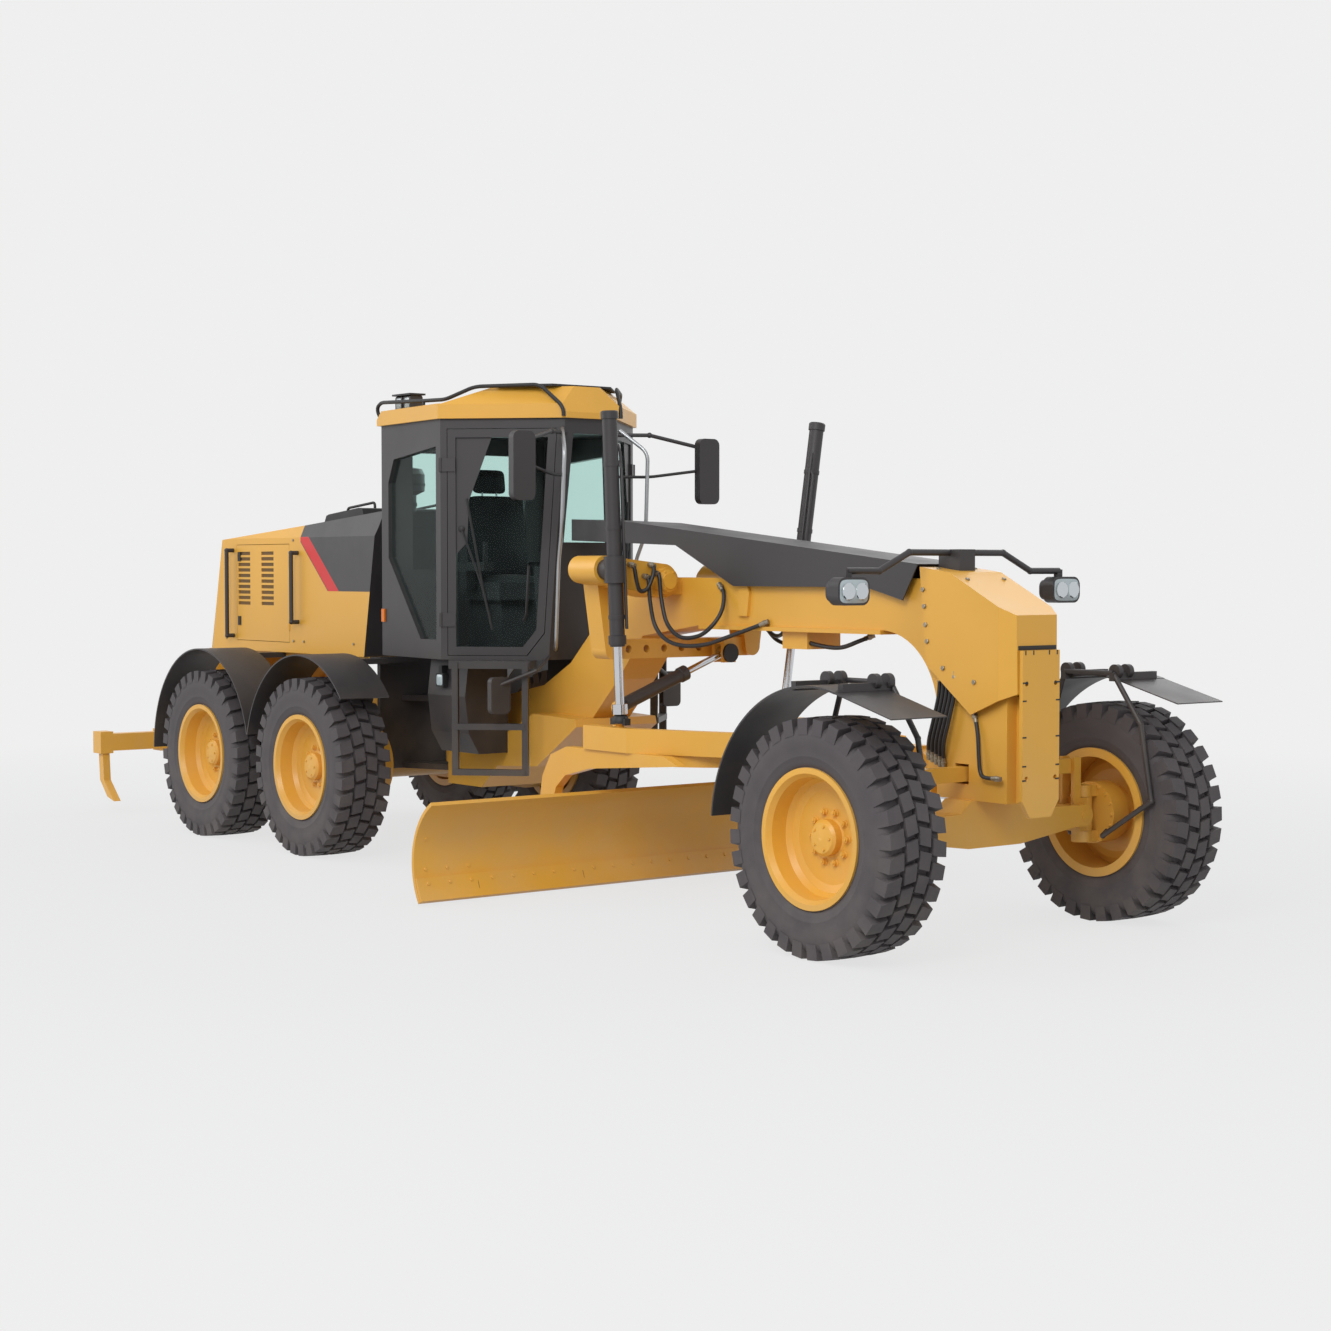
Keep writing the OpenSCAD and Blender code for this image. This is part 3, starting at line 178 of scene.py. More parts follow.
def lathes(profile, centres, axes, segments):
    """The same small lathe at many centres, each about its own axis."""
    centres = np.atleast_2d(np.asarray(centres, float))
    axes = unit(np.broadcast_to(np.asarray(axes, float), centres.shape))
    profile = np.asarray(profile, float)
    helper = np.where(np.abs(axes[:, 2:3]) < 0.9, [[0.0, 0.0, 1.0]], [[1.0, 0.0, 0.0]])
    side = unit(np.cross(axes, helper))
    other = np.cross(axes, side)
    turn = np.linspace(0, 2 * np.pi, segments, endpoint=False)
    spoke = np.cos(turn)[None, :, None] * side[:, None] + np.sin(turn)[None, :, None] * other[:, None]
    points = (centres[:, None, None] + profile[None, None, :, 1:2] * axes[:, None, None]
              + profile[None, None, :, :1] * spoke[:, :, None])
    faces = grid_faces(segments, len(profile), wrap_rows=True)
    return points.reshape(-1, 3), repeat_faces(faces, len(centres), segments * len(profile))


def smooth_path(knots, count):
    """A Catmull-Rom curve through the knots, sampled at count points."""
    knots = np.asarray(knots, float)
    ends = np.concatenate([2 * knots[:1] - knots[1:2], knots, 2 * knots[-1:] - knots[-2:-1]])
    s = np.linspace(0, len(knots) - 1 - 1e-9, count)
    i = s.astype(int)
    t = (s - i)[:, None]
    a, b, c, d = ends[i], ends[i + 1], ends[i + 2], ends[i + 3]
    square, cube = 2 * a - 5 * b + 4 * c - d, 3 * b - a - 3 * c + d
    return 0.5 * (2 * b + (c - a) * t + square * t ** 2 + cube * t ** 3)


def tube(path, radius, sides=10):
    """A circle carried along a path, drawn in at its ends: path + radius * (cos a * side + sin a * up)."""
    path = np.asarray(path, float)
    tangent = unit(np.gradient(path, axis=0))
    spread = np.abs(tangent).mean(0)
    helper = np.eye(3)[np.argmin(spread)]
    side = unit(np.cross(tangent, helper))
    up = np.cross(side, tangent)
    turn = np.linspace(0, 2 * np.pi, sides, endpoint=False)
    ring = np.cos(turn)[None, :, None] * side[:, None] + np.sin(turn)[None, :, None] * up[:, None]
    points = path[:, None] + radius * ring
    start, end = np.repeat(path[:1], sides, 0), np.repeat(path[-1:], sides, 0)
    points = np.concatenate([start[None], points, end[None]])
    return points.reshape(-1, 3), grid_faces(len(path) + 2, sides, wrap_columns=True)[:, ::-1]


def bent_tube(corners, radius, bend=0.06, sides=12):
    """A tube whose straight runs meet in short rounded bends at its inner corners."""
    corners = np.asarray(corners, float)
    before = unit(corners[:-2] - corners[1:-1])
    after = unit(corners[2:] - corners[1:-1])
    t = np.linspace(0, 1, 7)[None, :, None]
    mid = corners[1:-1, None]
    enter, leave = mid + bend * before[:, None], mid + bend * after[:, None]
    curve = (1 - t) ** 2 * enter + 2 * t * (1 - t) * mid + t ** 2 * leave
    path = np.concatenate([corners[:1], curve.reshape(-1, 3), corners[-1:]])
    return tube(path, radius, sides)


def dome(centre, right, up, half, bulge, power=4.0, rings=6, segments=40):
    """A rounded plate that swells in the middle: centre + t * edge + bulge * (1 - t^2) * (right x up).

    The edge is a superellipse, (|a| / half0)^power + (|b| / half1)^power = 1 along right and up.
    """
    right, up = unit(right), unit(up)
    turn = np.linspace(0, 2 * np.pi, segments, endpoint=False)
    ring = np.stack([np.cos(turn), np.sin(turn)])
    across, along = np.sign(ring) * np.abs(ring) ** (2 / power)
    edge = half[0] * across[:, None] * right + half[1] * along[:, None] * up
    t = np.linspace(1, 0, rings)[None, :, None]
    points = np.asarray(centre, float) + t * edge[:, None] + bulge * (1 - t ** 2) * np.cross(right, up)
    return points.reshape(-1, 3), grid_faces(segments, rings, wrap_rows=True)


def bolts(centres, normals, radius, height):
    """Six-sided heads that stand on a face."""
    profile = [[radius, 0], [radius, 0.75 * height], [0.82 * radius, height], [0, height]]
    return lathes(profile, centres, normals, 6)


def nuts(centres, normals, radius, height):
    """Round flanged nuts that stand on a face."""
    profile = [[1.25 * radius, 0], [1.25 * radius, 0.2 * height], [radius, 0.3 * height],
               [0.95 * radius, height], [0.5 * radius, height], [0.45 * radius, 1.25 * height],
               [0, 1.25 * height]]
    return lathes(profile, centres, normals, 14)


def placed(x, side, points):
    """Points given as (along, across, height) from the station x, on the side whose sign is given."""
    return [[x + along, side * across, height] for along, across, height in points]


# Shader making


class Socket:
    """A node socket that arithmetic works on; each operation on values adds a Math node."""

    def __init__(self, paint, link):
        self.paint = paint
        self.link = link

    def _math(self, operation, a, b):
        return self.paint.node("ShaderNodeMath", {"operation": operation}, {0: a, 1: b})

    def __add__(self, other):
        return self._math("ADD", self, other)

    def __radd__(self, other):
        return self._math("ADD", other, self)

    def __sub__(self, other):
        return self._math("SUBTRACT", self, other)

    def __rsub__(self, other):
        return self._math("SUBTRACT", other, self)

    def __mul__(self, other):
        return self._math("MULTIPLY", self, other)

    def __rmul__(self, other):
        return self._math("MULTIPLY", other, self)

    def larger(self, other):
        return self._math("MAXIMUM", self, other)

    def over(self, low, high):
        """How far the value has come from low to high, held between 0 and 1."""
        span = {"Value": self, "From Min": low, "From Max": high, "To Min": 0.0, "To Max": 1.0}
        return self.paint.node("ShaderNodeMapRange", {"clamp": True}, span)


class Paint:
    """One material under construction, with its principled shader."""

    def __init__(self, name, color, roughness, **settings):
        self.material = bpy.data.materials.new(name)
        self.material.use_nodes = True
        self.tree = self.material.node_tree
        self.shader = self.tree.nodes["Principled BSDF"]
        self.set(**{"Base Color": color, "Roughness": roughness, **settings})
        self.material.diffuse_color = (*color[:3], 1.0)

    def node(self, kind, settings, values, output=0):
        """Any node: its settings first, then its sockets' values or links. Gives its output."""
        made = self.tree.nodes.new(kind)
        for key, value in settings.items():
            setattr(made, key, value)
        for key, value in values.items():
            self._fill(made.inputs[key], value)
        return Socket(self, made.outputs[output])

    def _fill(self, socket, value):
        if isinstance(value, Socket):
            self.tree.links.new(value.link, socket)
        else:
            if socket.type == "RGBA" and len(value) == 3:
                value = (*value, 1.0)
            socket.default_value = value

    def set(self, **values):
        for key, value in values.items():
            self._fill(self.shader.inputs[key], value)
        return self

    def place(self):
        return self.node("ShaderNodeTexCoord", {}, {}, "Object")

    def axis(self, which):
        return self.node("ShaderNodeSeparateXYZ", {}, {0: self.place()}, which)

    def noise(self, scale, detail=4.0):
        values = {"Vector": self.place(), "Scale": scale, "Detail": detail}
        return self.node("ShaderNodeTexNoise", {}, values)

    def mix(self, factor, a, b):
        return self.node("ShaderNodeMix", {"data_type": "RGBA"}, {"Factor": factor, 6: a, 7: b}, 2)

    def bump(self, height, strength, distance):
        values = {"Height": height, "Strength": strength, "Distance": distance}
        return self.set(Normal=self.node("ShaderNodeBump", {}, values))

    def directly_seen(self):
        """1 for rays from the camera, also by way of gloss or glass, and 0 for light on its way."""
        seen = self.node("ShaderNodeLightPath", {}, {}, "Is Camera Ray")
        for kind in ("Is Glossy Ray", "Is Transmission Ray"):
            seen = seen.larger(self.node("ShaderNodeLightPath", {}, {}, kind))
        return seen


class Sky(Paint):
    """The world's node tree, with the same way of making nodes."""

    def __init__(self, world):
        world.use_nodes = True
        self.tree = world.node_tree
        self.tree.nodes.clear()


FINISH = {}


def linear(value):
    """A display colour component as a linear one."""
    return value / 12.92 if value <= 0.04045 else ((value + 0.055) / 1.055) ** 2.4


def shade(red, green, blue):
    """A colour given by its display values from 0 to 255."""
    return tuple(linear(c / 255.0) for c in (red, green, blue))


def uneven(paint, color, spread, rough, scale=5.0, grain=160.0, depth=0.0004):
    """Patches a little darker and lighter than the colour, uneven gloss, and a fine grain."""
    patches = paint.noise(scale, 5.0).over(0.25, 0.75)
    deep = tuple(c * (1.0 - spread) for c in color)
    pale = tuple(min(1.0, c * (1.0 + spread)) for c in color)
    tone = paint.mix(patches, deep, pale)
    paint.set(**{"Base Color": tone, "Roughness": (patches * 0.3 + 0.85) * rough})
    paint.bump(paint.noise(grain, 2.0), 0.3, depth)
    return tone


def dusty(paint, tone, dust, amount, low, high, scale=3.0):
    """Mixes dust over a tone, thickest near the ground and broken up by noise."""
    near_ground = 1.0 - paint.axis("Z").over(low, high)
    patches = paint.noise(scale, 6.0).over(0.35, 0.75)
    mask = near_ground * patches * amount
    paint.set(**{"Base Color": paint.mix(mask, tone, dust)})


def finish(name, color, rough, spread=0.08, grain=160.0, depth=0.0003, **settings):
    """A finish with uneven tone, gloss and grain."""
    paint = Paint(name, color, rough, **settings)
    uneven(paint, tuple(color), spread, rough, 5.0, grain, depth)
    return paint.material


def colour(name, description, display):
    """A colour setting whose default is given by its display values."""
    return FloatVectorProperty(name=name, description=description, subtype="COLOR", size=3, min=0, max=1,
                               default=shade(*display))


class GraderSettings(bpy.types.PropertyGroup):
    """Sizes and colours that a user may want to change."""

    yellow: colour("Yellow paint", "Colour of the frame, hood and blade", (222, 165, 60))
    dark: colour("Dark paint", "Colour of the cab frame, fenders and cowl", (52, 49, 50))
    glass: colour("Glass tint", "Tint of the windows", (220, 240, 236))
    rubber: colour("Rubber", "Colour of the tyres", (74, 69, 71))
    stripe: colour("Stripe", "Colour of the slanted stripe on the hood", (206, 18, 22))
    hose: FloatProperty(name="Hose radius", description="Radius of the hydraulic hoses",
                        subtype="DISTANCE", min=0.005, max=0.03, default=0.013)
    lens: FloatProperty(name="Focal length", description="Camera focal length in millimetres",
                        min=20, max=120, default=61.54)
    floor: colour("Floor", "Colour of the studio floor and background", (239, 239, 239))


def settings():
    return bpy.context.scene.grader


class GRADER_OT_finishes(bpy.types.Operator):
    """Makes every finish and gives the CAD solids theirs"""

    bl_idname = "grader.finishes"
    bl_label = "Finishes"

    def execute(self, context):
        s = settings()
        dust = shade(196, 172, 138)
        yellow = Paint("machine_yellow", s.yellow, 0.4, **{"Coat Weight": 0.1, "Coat Roughness": 0.25})
        dusty(yellow, uneven(yellow, tuple(s.yellow), 0.05, 0.4, 1.6), dust, 0.3, 0.1, 1.3)
        FINISH["yellow"] = yellow.material
        dark = Paint("satin_dark", s.dark, 0.48)
        dusty(dark, uneven(dark, tuple(s.dark), 0.12, 0.48, 2.5, 240.0), dust, 0.16, 0.1, 1.6)
        FINISH["dark"] = dark.material
        rubber = Paint("tyre_rubber", s.rubber, 0.72)
        tone = uneven(rubber, tuple(s.rubber), 0.16, 0.72, 9.0, 90.0, 0.0012)
        dusty(rubber, tone, shade(128, 118, 108), 0.4, -0.3, 1.25, 6.0)
        FINISH["rubber"] = rubber.material
        FINISH["black"] = finish("matte_black", shade(32, 31, 32), 0.55, 0.15)
        FINISH["trim"] = finish("cab_trim", shade(38, 37, 39), 0.75, 0.12, 420.0, 0.0001)
        FINISH["cloth"] = finish("seat_cloth", shade(30, 30, 33), 0.9, 0.2, 520.0, 0.0008)
        FINISH["hose"] = finish("hose_rubber", shade(34, 33, 35), 0.45, 0.15, 700.0)
        FINISH["chrome"] = finish("rod_chrome", shade(206, 208, 212), 0.16, 0.05, 900.0, 0.0001,
                                  Metallic=1.0)
        FINISH["zinc"] = finish("zinc_bolts", shade(150, 142, 126), 0.45, 0.2, 300.0, Metallic=0.8)
        FINISH["alloy"] = finish("grab_alloy", shade(168, 170, 172), 0.38, 0.08, 500.0, Metallic=0.9)
        FINISH["reflector"] = finish("lamp_reflector", shade(200, 206, 210), 0.1, 0.04, 260.0, 0.0008,
                                     Metallic=1.0)
        FINISH["lens"] = finish("lamp_lens", shade(168, 180, 182), 0.12, 0.12, 260.0, 0.001,
                                **{"Coat Weight": 0.5})
        FINISH["amber"] = finish("marker_amber", shade(226, 118, 26), 0.2, 0.08, 300.0, 0.001)
        FINISH["red_lens"] = finish("lamp_red", shade(170, 24, 22), 0.2, 0.08, 300.0, 0.001)
        FINISH["mirror"] = finish("mirror_face", shade(190, 196, 200), 0.05, 0.02, 40.0, 0.0001,
                                  Metallic=1.0)
        clear = {"Transmission Weight": 1.0, "IOR": 1.12}
        FINISH["glass"] = Paint("cab_glass", s.glass, 0.0, **clear).material
        FINISH["mesh"] = finish("grille_mesh", shade(104, 76, 34), 0.7, 0.2, 420.0, 0.002)
        FINISH["hood_side"] = self.hood_side(s)
        slots = {"yellow_paint": "yellow", "dark_paint": "dark", "cab_trim": "trim", "lamp_lens": "dark",
                 "window_glass": "glass", "rod_chrome": "chrome", "tyre_rubber": "rubber"}
        for part in frame["record"]["subparts"]:
            mesh = NODES[part["node"]].data
            mesh.materials.clear()
            mesh.materials.append(FINISH[slots[part["material_slot"]]])
        for pane in ("cab_glass", "door_glass_right", "door_glass_left"):
            NODES[pane].visible_shadow = False
        NODES["hood_front"].data.materials[0] = FINISH["hood_side"]
        # The rear frame's material carries painted shade on its front part, over the hitch.
        NODES["rear_frame"].data.materials[0] = self.rear_frame(s, dust)
        return {"FINISHED"}

    def rear_frame(self, s, dust):
        """Yellow frame whose front cross plate and hitch, in front of the engine deck, are dark: partly a
        dark guard, partly painted shade for the shadow that falls there.
        """
        plate_x = TANDEM_X + 0.5595
        paint = Paint("rear_frame_paint_and_shade", s.yellow, 0.42)
        tone = uneven(paint, tuple(s.yellow), 0.05, 0.42, 1.6)
        # Painted shade: the frame in front of the cross plate takes the dark colour for the shadow on the
        # hitch, as well as for a dark guard.
        painted_shade_mask = paint.axis("X").over(plate_x, plate_x + 0.0005)
        dusty(paint, paint.mix(painted_shade_mask, tone, tuple(s.dark)), dust, 0.3, 0.1, 1.3)
        return paint.material

    def hood_side(self, s):
        """Dark hood section with a yellow lower field and a slanted red stripe along the edge between them.

        The edge is the line z = top - slope * (x - start) down to the level z = low.
        """
        start, top, slope, low = FRONT_X - 6.485, 2.183, 0.895, 1.84
        near, far, blur = -0.008, -0.148, 0.0005
        paint = Paint("hood_side", s.dark, 0.42, **{"Coat Weight": 0.15, "Coat Roughness": 0.25})
        x, z = paint.axis("X"), paint.axis("Z")
        slant = top - (x - start) * slope - z
        below = (low - z).over(-blur, blur)
        left = slant.over(-blur, blur)
        field = below.larger(left)
        beyond = 1.0 - slant.over(near - blur, near + blur)
        band = slant.over(far - blur, far + blur) * beyond * (1.0 - below)
        inside = {0: paint.axis("Y"), 1: 0.0, 2: HOOD_HALF - 0.0015}
        sides = 1.0 - paint.node("ShaderNodeMath", {"operation": "COMPARE"}, inside)
        uneven(paint, tuple(s.dark), 0.0, 0.42)
        ground = paint.mix(field * sides, tuple(s.dark), tuple(s.yellow))
        paint.set(**{"Base Color": paint.mix(band * sides, ground, tuple(s.stripe))})
        return paint.material


# Tread sizes: groove floor, lug tips and their fall, and how far a lug narrows to its top
GROOVE_R = 0.588
TREAD_R = 0.6248
TREAD_FALL = 0.16
LUG_TAPER = 0.92


def ring_lugs(outline, count, offset, tip, foot, crown):
    """Tread blocks: an outline of (arc, width) corners, repeated round the tyre from foot to tip radius.

    A corner at arc a and width y of block k lies at the angle k * pitch + offset + a / tip.
    The tip falls by crown * y^2 towards the shoulders.
    """
    outline = np.asarray(outline, float)
    foot = np.broadcast_to(np.asarray(foot, float), (len(outline),))
    middle = outline.mean(0)
    top = middle + (outline - middle) * LUG_TAPER
    turn = np.linspace(0, 2 * np.pi, count, endpoint=False)[:, None] + offset
    corners = []
    for shape, radius in ((outline, foot), (top, tip - crown * top[:, 1] ** 2)):
        angle = turn + shape[None, :, 0] / tip
        corners.append(np.stack([radius * np.cos(angle), np.broadcast_to(shape[:, 1], angle.shape),
                                 radius * np.sin(angle)], -1))
    points = np.stack(corners, 1)
    n = len(outline)
    k = np.arange(n)
    walls = np.stack([k, (k + 1) % n, (k + 1) % n + n, k + n], -1)
    points = points.reshape(count, 2 * n, 3)
    return points, repeat_faces(walls, count, 2 * n), repeat_faces((k + n)[None], count, 2 * n)


class GRADER_OT_tyres(bpy.types.Operator):
    """Makes the tyres: a turned carcass with shoulder lugs and two rows of centre blocks"""

    bl_idname = "grader.tyres"
    bl_label = "Tyres"

    def execute(self, context):
        half = np.array([[0.3302, 0.150], [0.3420, 0.166], [0.3560, 0.1735], [0.3700, 0.1700],
                         [0.3760, 0.1755], [0.4000, 0.1835], [0.4180, 0.1875], [0.4230, 0.1905],
                         [0.4290, 0.1905], [0.4340, 0.1895], [0.4700, 0.1940], [0.5050, 0.1955],
                         [0.5350, 0.1925], [0.5580, 0.1850], [0.5760, 0.1730], [0.5860, 0.1550],
                         [0.5900, 0.1200], [0.5905, 0.0600]])
        section = np.concatenate([half * (1, -1), [[0.5905, 0.0]], half[::-1]])
        shoulder = np.array([[-0.049, 0.099], [0.044, 0.091], [0.057, 0.135], [0.063, 0.1945],
                             [-0.020, 0.1945], [-0.034, 0.140]])
        outer_foot = 0.535
        block = np.array([[-0.058, 0.007], [0.040, 0.001], [0.060, 0.081], [-0.038, 0.089]])
        rows = ((shoulder, [GROOVE_R] * 3 + [outer_foot] * 2 + [GROOVE_R], 0.0),
                (block, [GROOVE_R] * 4, 0.55))
        pitches = 32
        for place, x in WHEELS:
            for side, s in SIDES:
                wheel = "%s_%s" % (place, side)
                build = Build()
                centre = np.array([x, s * HALF_TRACK, AXLE_Z])
                build.add(*lathe(section, centre, (0, 1, 0), 128))
                for y_sign, start in ((1, 0.0), (-1, 0.5)):
                    for outline, foot, shift in rows:
                        offset = (start + shift) * 2 * np.pi / pitches
                        shape = outline * (1.0, y_sign)
                        lug, walls, tops = ring_lugs(shape, pitches, offset, TREAD_R, foot, TREAD_FALL)
                        turned = slice(None, None, -1 if (y_sign < 0) ^ (s < 0) else 1)
                        first = build.count
                        build.add(lug * (s, 1, 1) + centre, walls[:, turned])
                        build.faces.append(tops[:, turned] + first)
                        build.slots.append(np.zeros(len(tops), int))
                build.object("tyre_tread_" + wheel, "wheel_" + wheel, [FINISH["rubber"]], "tyre_rubber",
                             35.0, ["tyre_" + wheel])
        return {"FINISHED"}


def axle_circle(count):
    """Points spread round a circle of radius 1 about an axle."""
    turn = np.linspace(0, 2 * np.pi, count, endpoint=False)
    return np.stack([np.cos(turn), np.zeros(count), np.sin(turn)], -1)


class GRADER_OT_wheel_trim(bpy.types.Operator):
    """Nuts round each hub cap, and the bolts of the cap"""

    bl_idname = "grader.wheel_trim"
    bl_label = "Wheel nuts"

    def execute(self, context):
        nut_ring, cap_ring = 0.135, 0.062
        circle = axle_circle(10)
        for place, x in WHEELS:
            for side, s in SIDES:
                wheel = "%s_%s" % (place, side)
                centre = np.array([x, s * HALF_TRACK, AXLE_Z])
                build = Build()
                on_disc = centre + nut_ring * circle + (0, s * 0.030, 0)
                on_cap = centre + cap_ring * circle[::2] + (0, s * 0.0965, 0)
                build.add(*nuts(on_disc, (0, s, 0), 0.016, 0.022))
                build.add(*bolts(on_cap, (0, s, 0), 0.008, 0.006))
                build.object("wheel_nuts_" + wheel, "wheel_" + wheel, [FINISH["yellow"]], "yellow_paint")
        return {"FINISHED"}


def hose_ends(path):
    """Centres and directions of the crimped fittings at both ends of a hose."""
    path = np.asarray(path, float)
    return path[[0, -1]], unit(np.stack([path[1] - path[0], path[-2] - path[-1]]))


def lines(name, body, runs, radius):
    """Formed hydraulic lines with crimped fittings at both ends, joined in one piece."""
    build = Build()
    fitting = [[0, -0.004], [1.25 * radius, -0.004], [1.25 * radius, 0.018], [1.45 * radius, 0.020],
               [1.45 * radius, 0.034], [1.15 * radius, 0.036], [1.15 * radius, 0.058], [0, 0.058]]
    for knots in runs:
        path = smooth_path(knots, 8 * len(knots))
        build.add(*tube(path, radius))
        build.add(*lathes(fitting, *hose_ends(path), 10), 1)
    return build.object(name, body, [FINISH["hose"], FINISH["zinc"]], "dark_paint", 50.0)


class GRADER_OT_front_end(bpy.types.Operator):
    """Dresses the nose: plate slots, painted shadow line, bolts, lamp lenses, lines and hub flange bolts"""

    bl_idname = "grader.front_end"
    bl_label = "Front end"

    def execute(self, context):
        x = FRONT_X
        face = x + 0.430
        heights = (1.405, 1.31, 1.118, 0.966, 0.891)
        build = Build()
        for s in (-1.0, 1.0):
            build.add(*boxes([[face, s * 0.126, z] for z in heights], (0.0012, 0.014, 0.004)))
            build.add(*lathes([[0.008, 0], [0.008, 0.0013], [0, 0.0013]],
                              [[face, s * 0.110, heights[0]]], (1, 0, 0), 16))
        upright = [[face, y, 1.563] for y in (-0.12, -0.06, 0.06, 0.12)]
        build.add(*boxes(upright, (0.0012, 0.004, 0.012)))
        # Painted shadow: a black bar in the gap above the front plate, where shade falls.
        build.add(*boxes([[x + 0.3985, 0.0, 1.588]], (0.004, 0.142, 0.011)))
        build.object("plate_slots_and_shadow_line", "front_frame", [FINISH["black"]], "dark_paint")
        build = Build()
        spots = [[-0.255, 1.891], [-0.245, 1.80], [-0.235, 1.70], [-0.222, 1.61], [-0.099, 1.468],
                 [0.134, 1.401]]
        for s in (-1.0, 1.0):
            build.add(*bolts([[x + a, s * 0.200, z] for a, z in spots], (0, s, 0), 0.014, 0.010))
        top = [[x + a, y, z] for a, z in ((-0.20, 2.0018), (0.02, 1.9455)) for y in (-0.14, 0.14)]
        build.add(*bolts(top, (0.35, 0, 0.94), 0.013, 0.009))
        build.object("nose_bolts", "front_frame", [FINISH["zinc"]], "dark_paint")
        for side, s in SIDES:
            lamp = np.array([x - 0.1395, s * 0.815, 1.885])
            build = Build()
            build.add(*dome(lamp, (0, 1, 0), (0, 0, 1), (0.100, 0.062), 0.016, 5.0))
            build.add(*lathes([[0.046, 0.0125], [0.042, 0.0165], [0.020, 0.0175], [0, 0.0175]],
                              lamp + [[0, -0.046, 0], [0, 0.046, 0]], (1, 0, 0), 28), 1)
            build.object("headlamp_lens_%s" % side, "front_frame", [FINISH["lens"], FINISH["reflector"]],
                         "lamp_lens")
        flange = 0.158 * axle_circle(16)
        for side, s in SIDES:
            build = Build().add(*bolts(flange + (x, s * 0.872, AXLE_Z), (0, -s, 0), 0.010, 0.009))
            build.object("hub_bolts_%s" % side, "knuckle_%s" % side, [FINISH["yellow"]], "yellow_paint")
        runs = []
        for k in range(5):
            a, y = 0.035 * k, -0.163 - 0.006 * k
            runs.append([[x - 0.16 + a, y, 1.45], [x - 0.17 + a, y, 1.32], [x - 0.20 + a, y - 0.01, 1.18],
                         [x - 0.235 + a, y - 0.01, 1.06], [x - 0.262 + a, y + 0.02, 0.965 - 0.01 * k]])
        runs.append([[x + 0.10, -0.163, 1.24], [x + 0.135, -0.172, 1.12], [x + 0.15, -0.178, 1.00],
                     [x + 0.165, -0.182, 0.925], [x + 0.20, -0.186, 0.897], [x + 0.315, -0.188, 0.895]])
        runs += [[[a, -y, z] for a, y, z in run] for run in runs]
        lines("nose_lines", "front_frame", runs, settings().hose * 0.85)
        return {"FINISHED"}


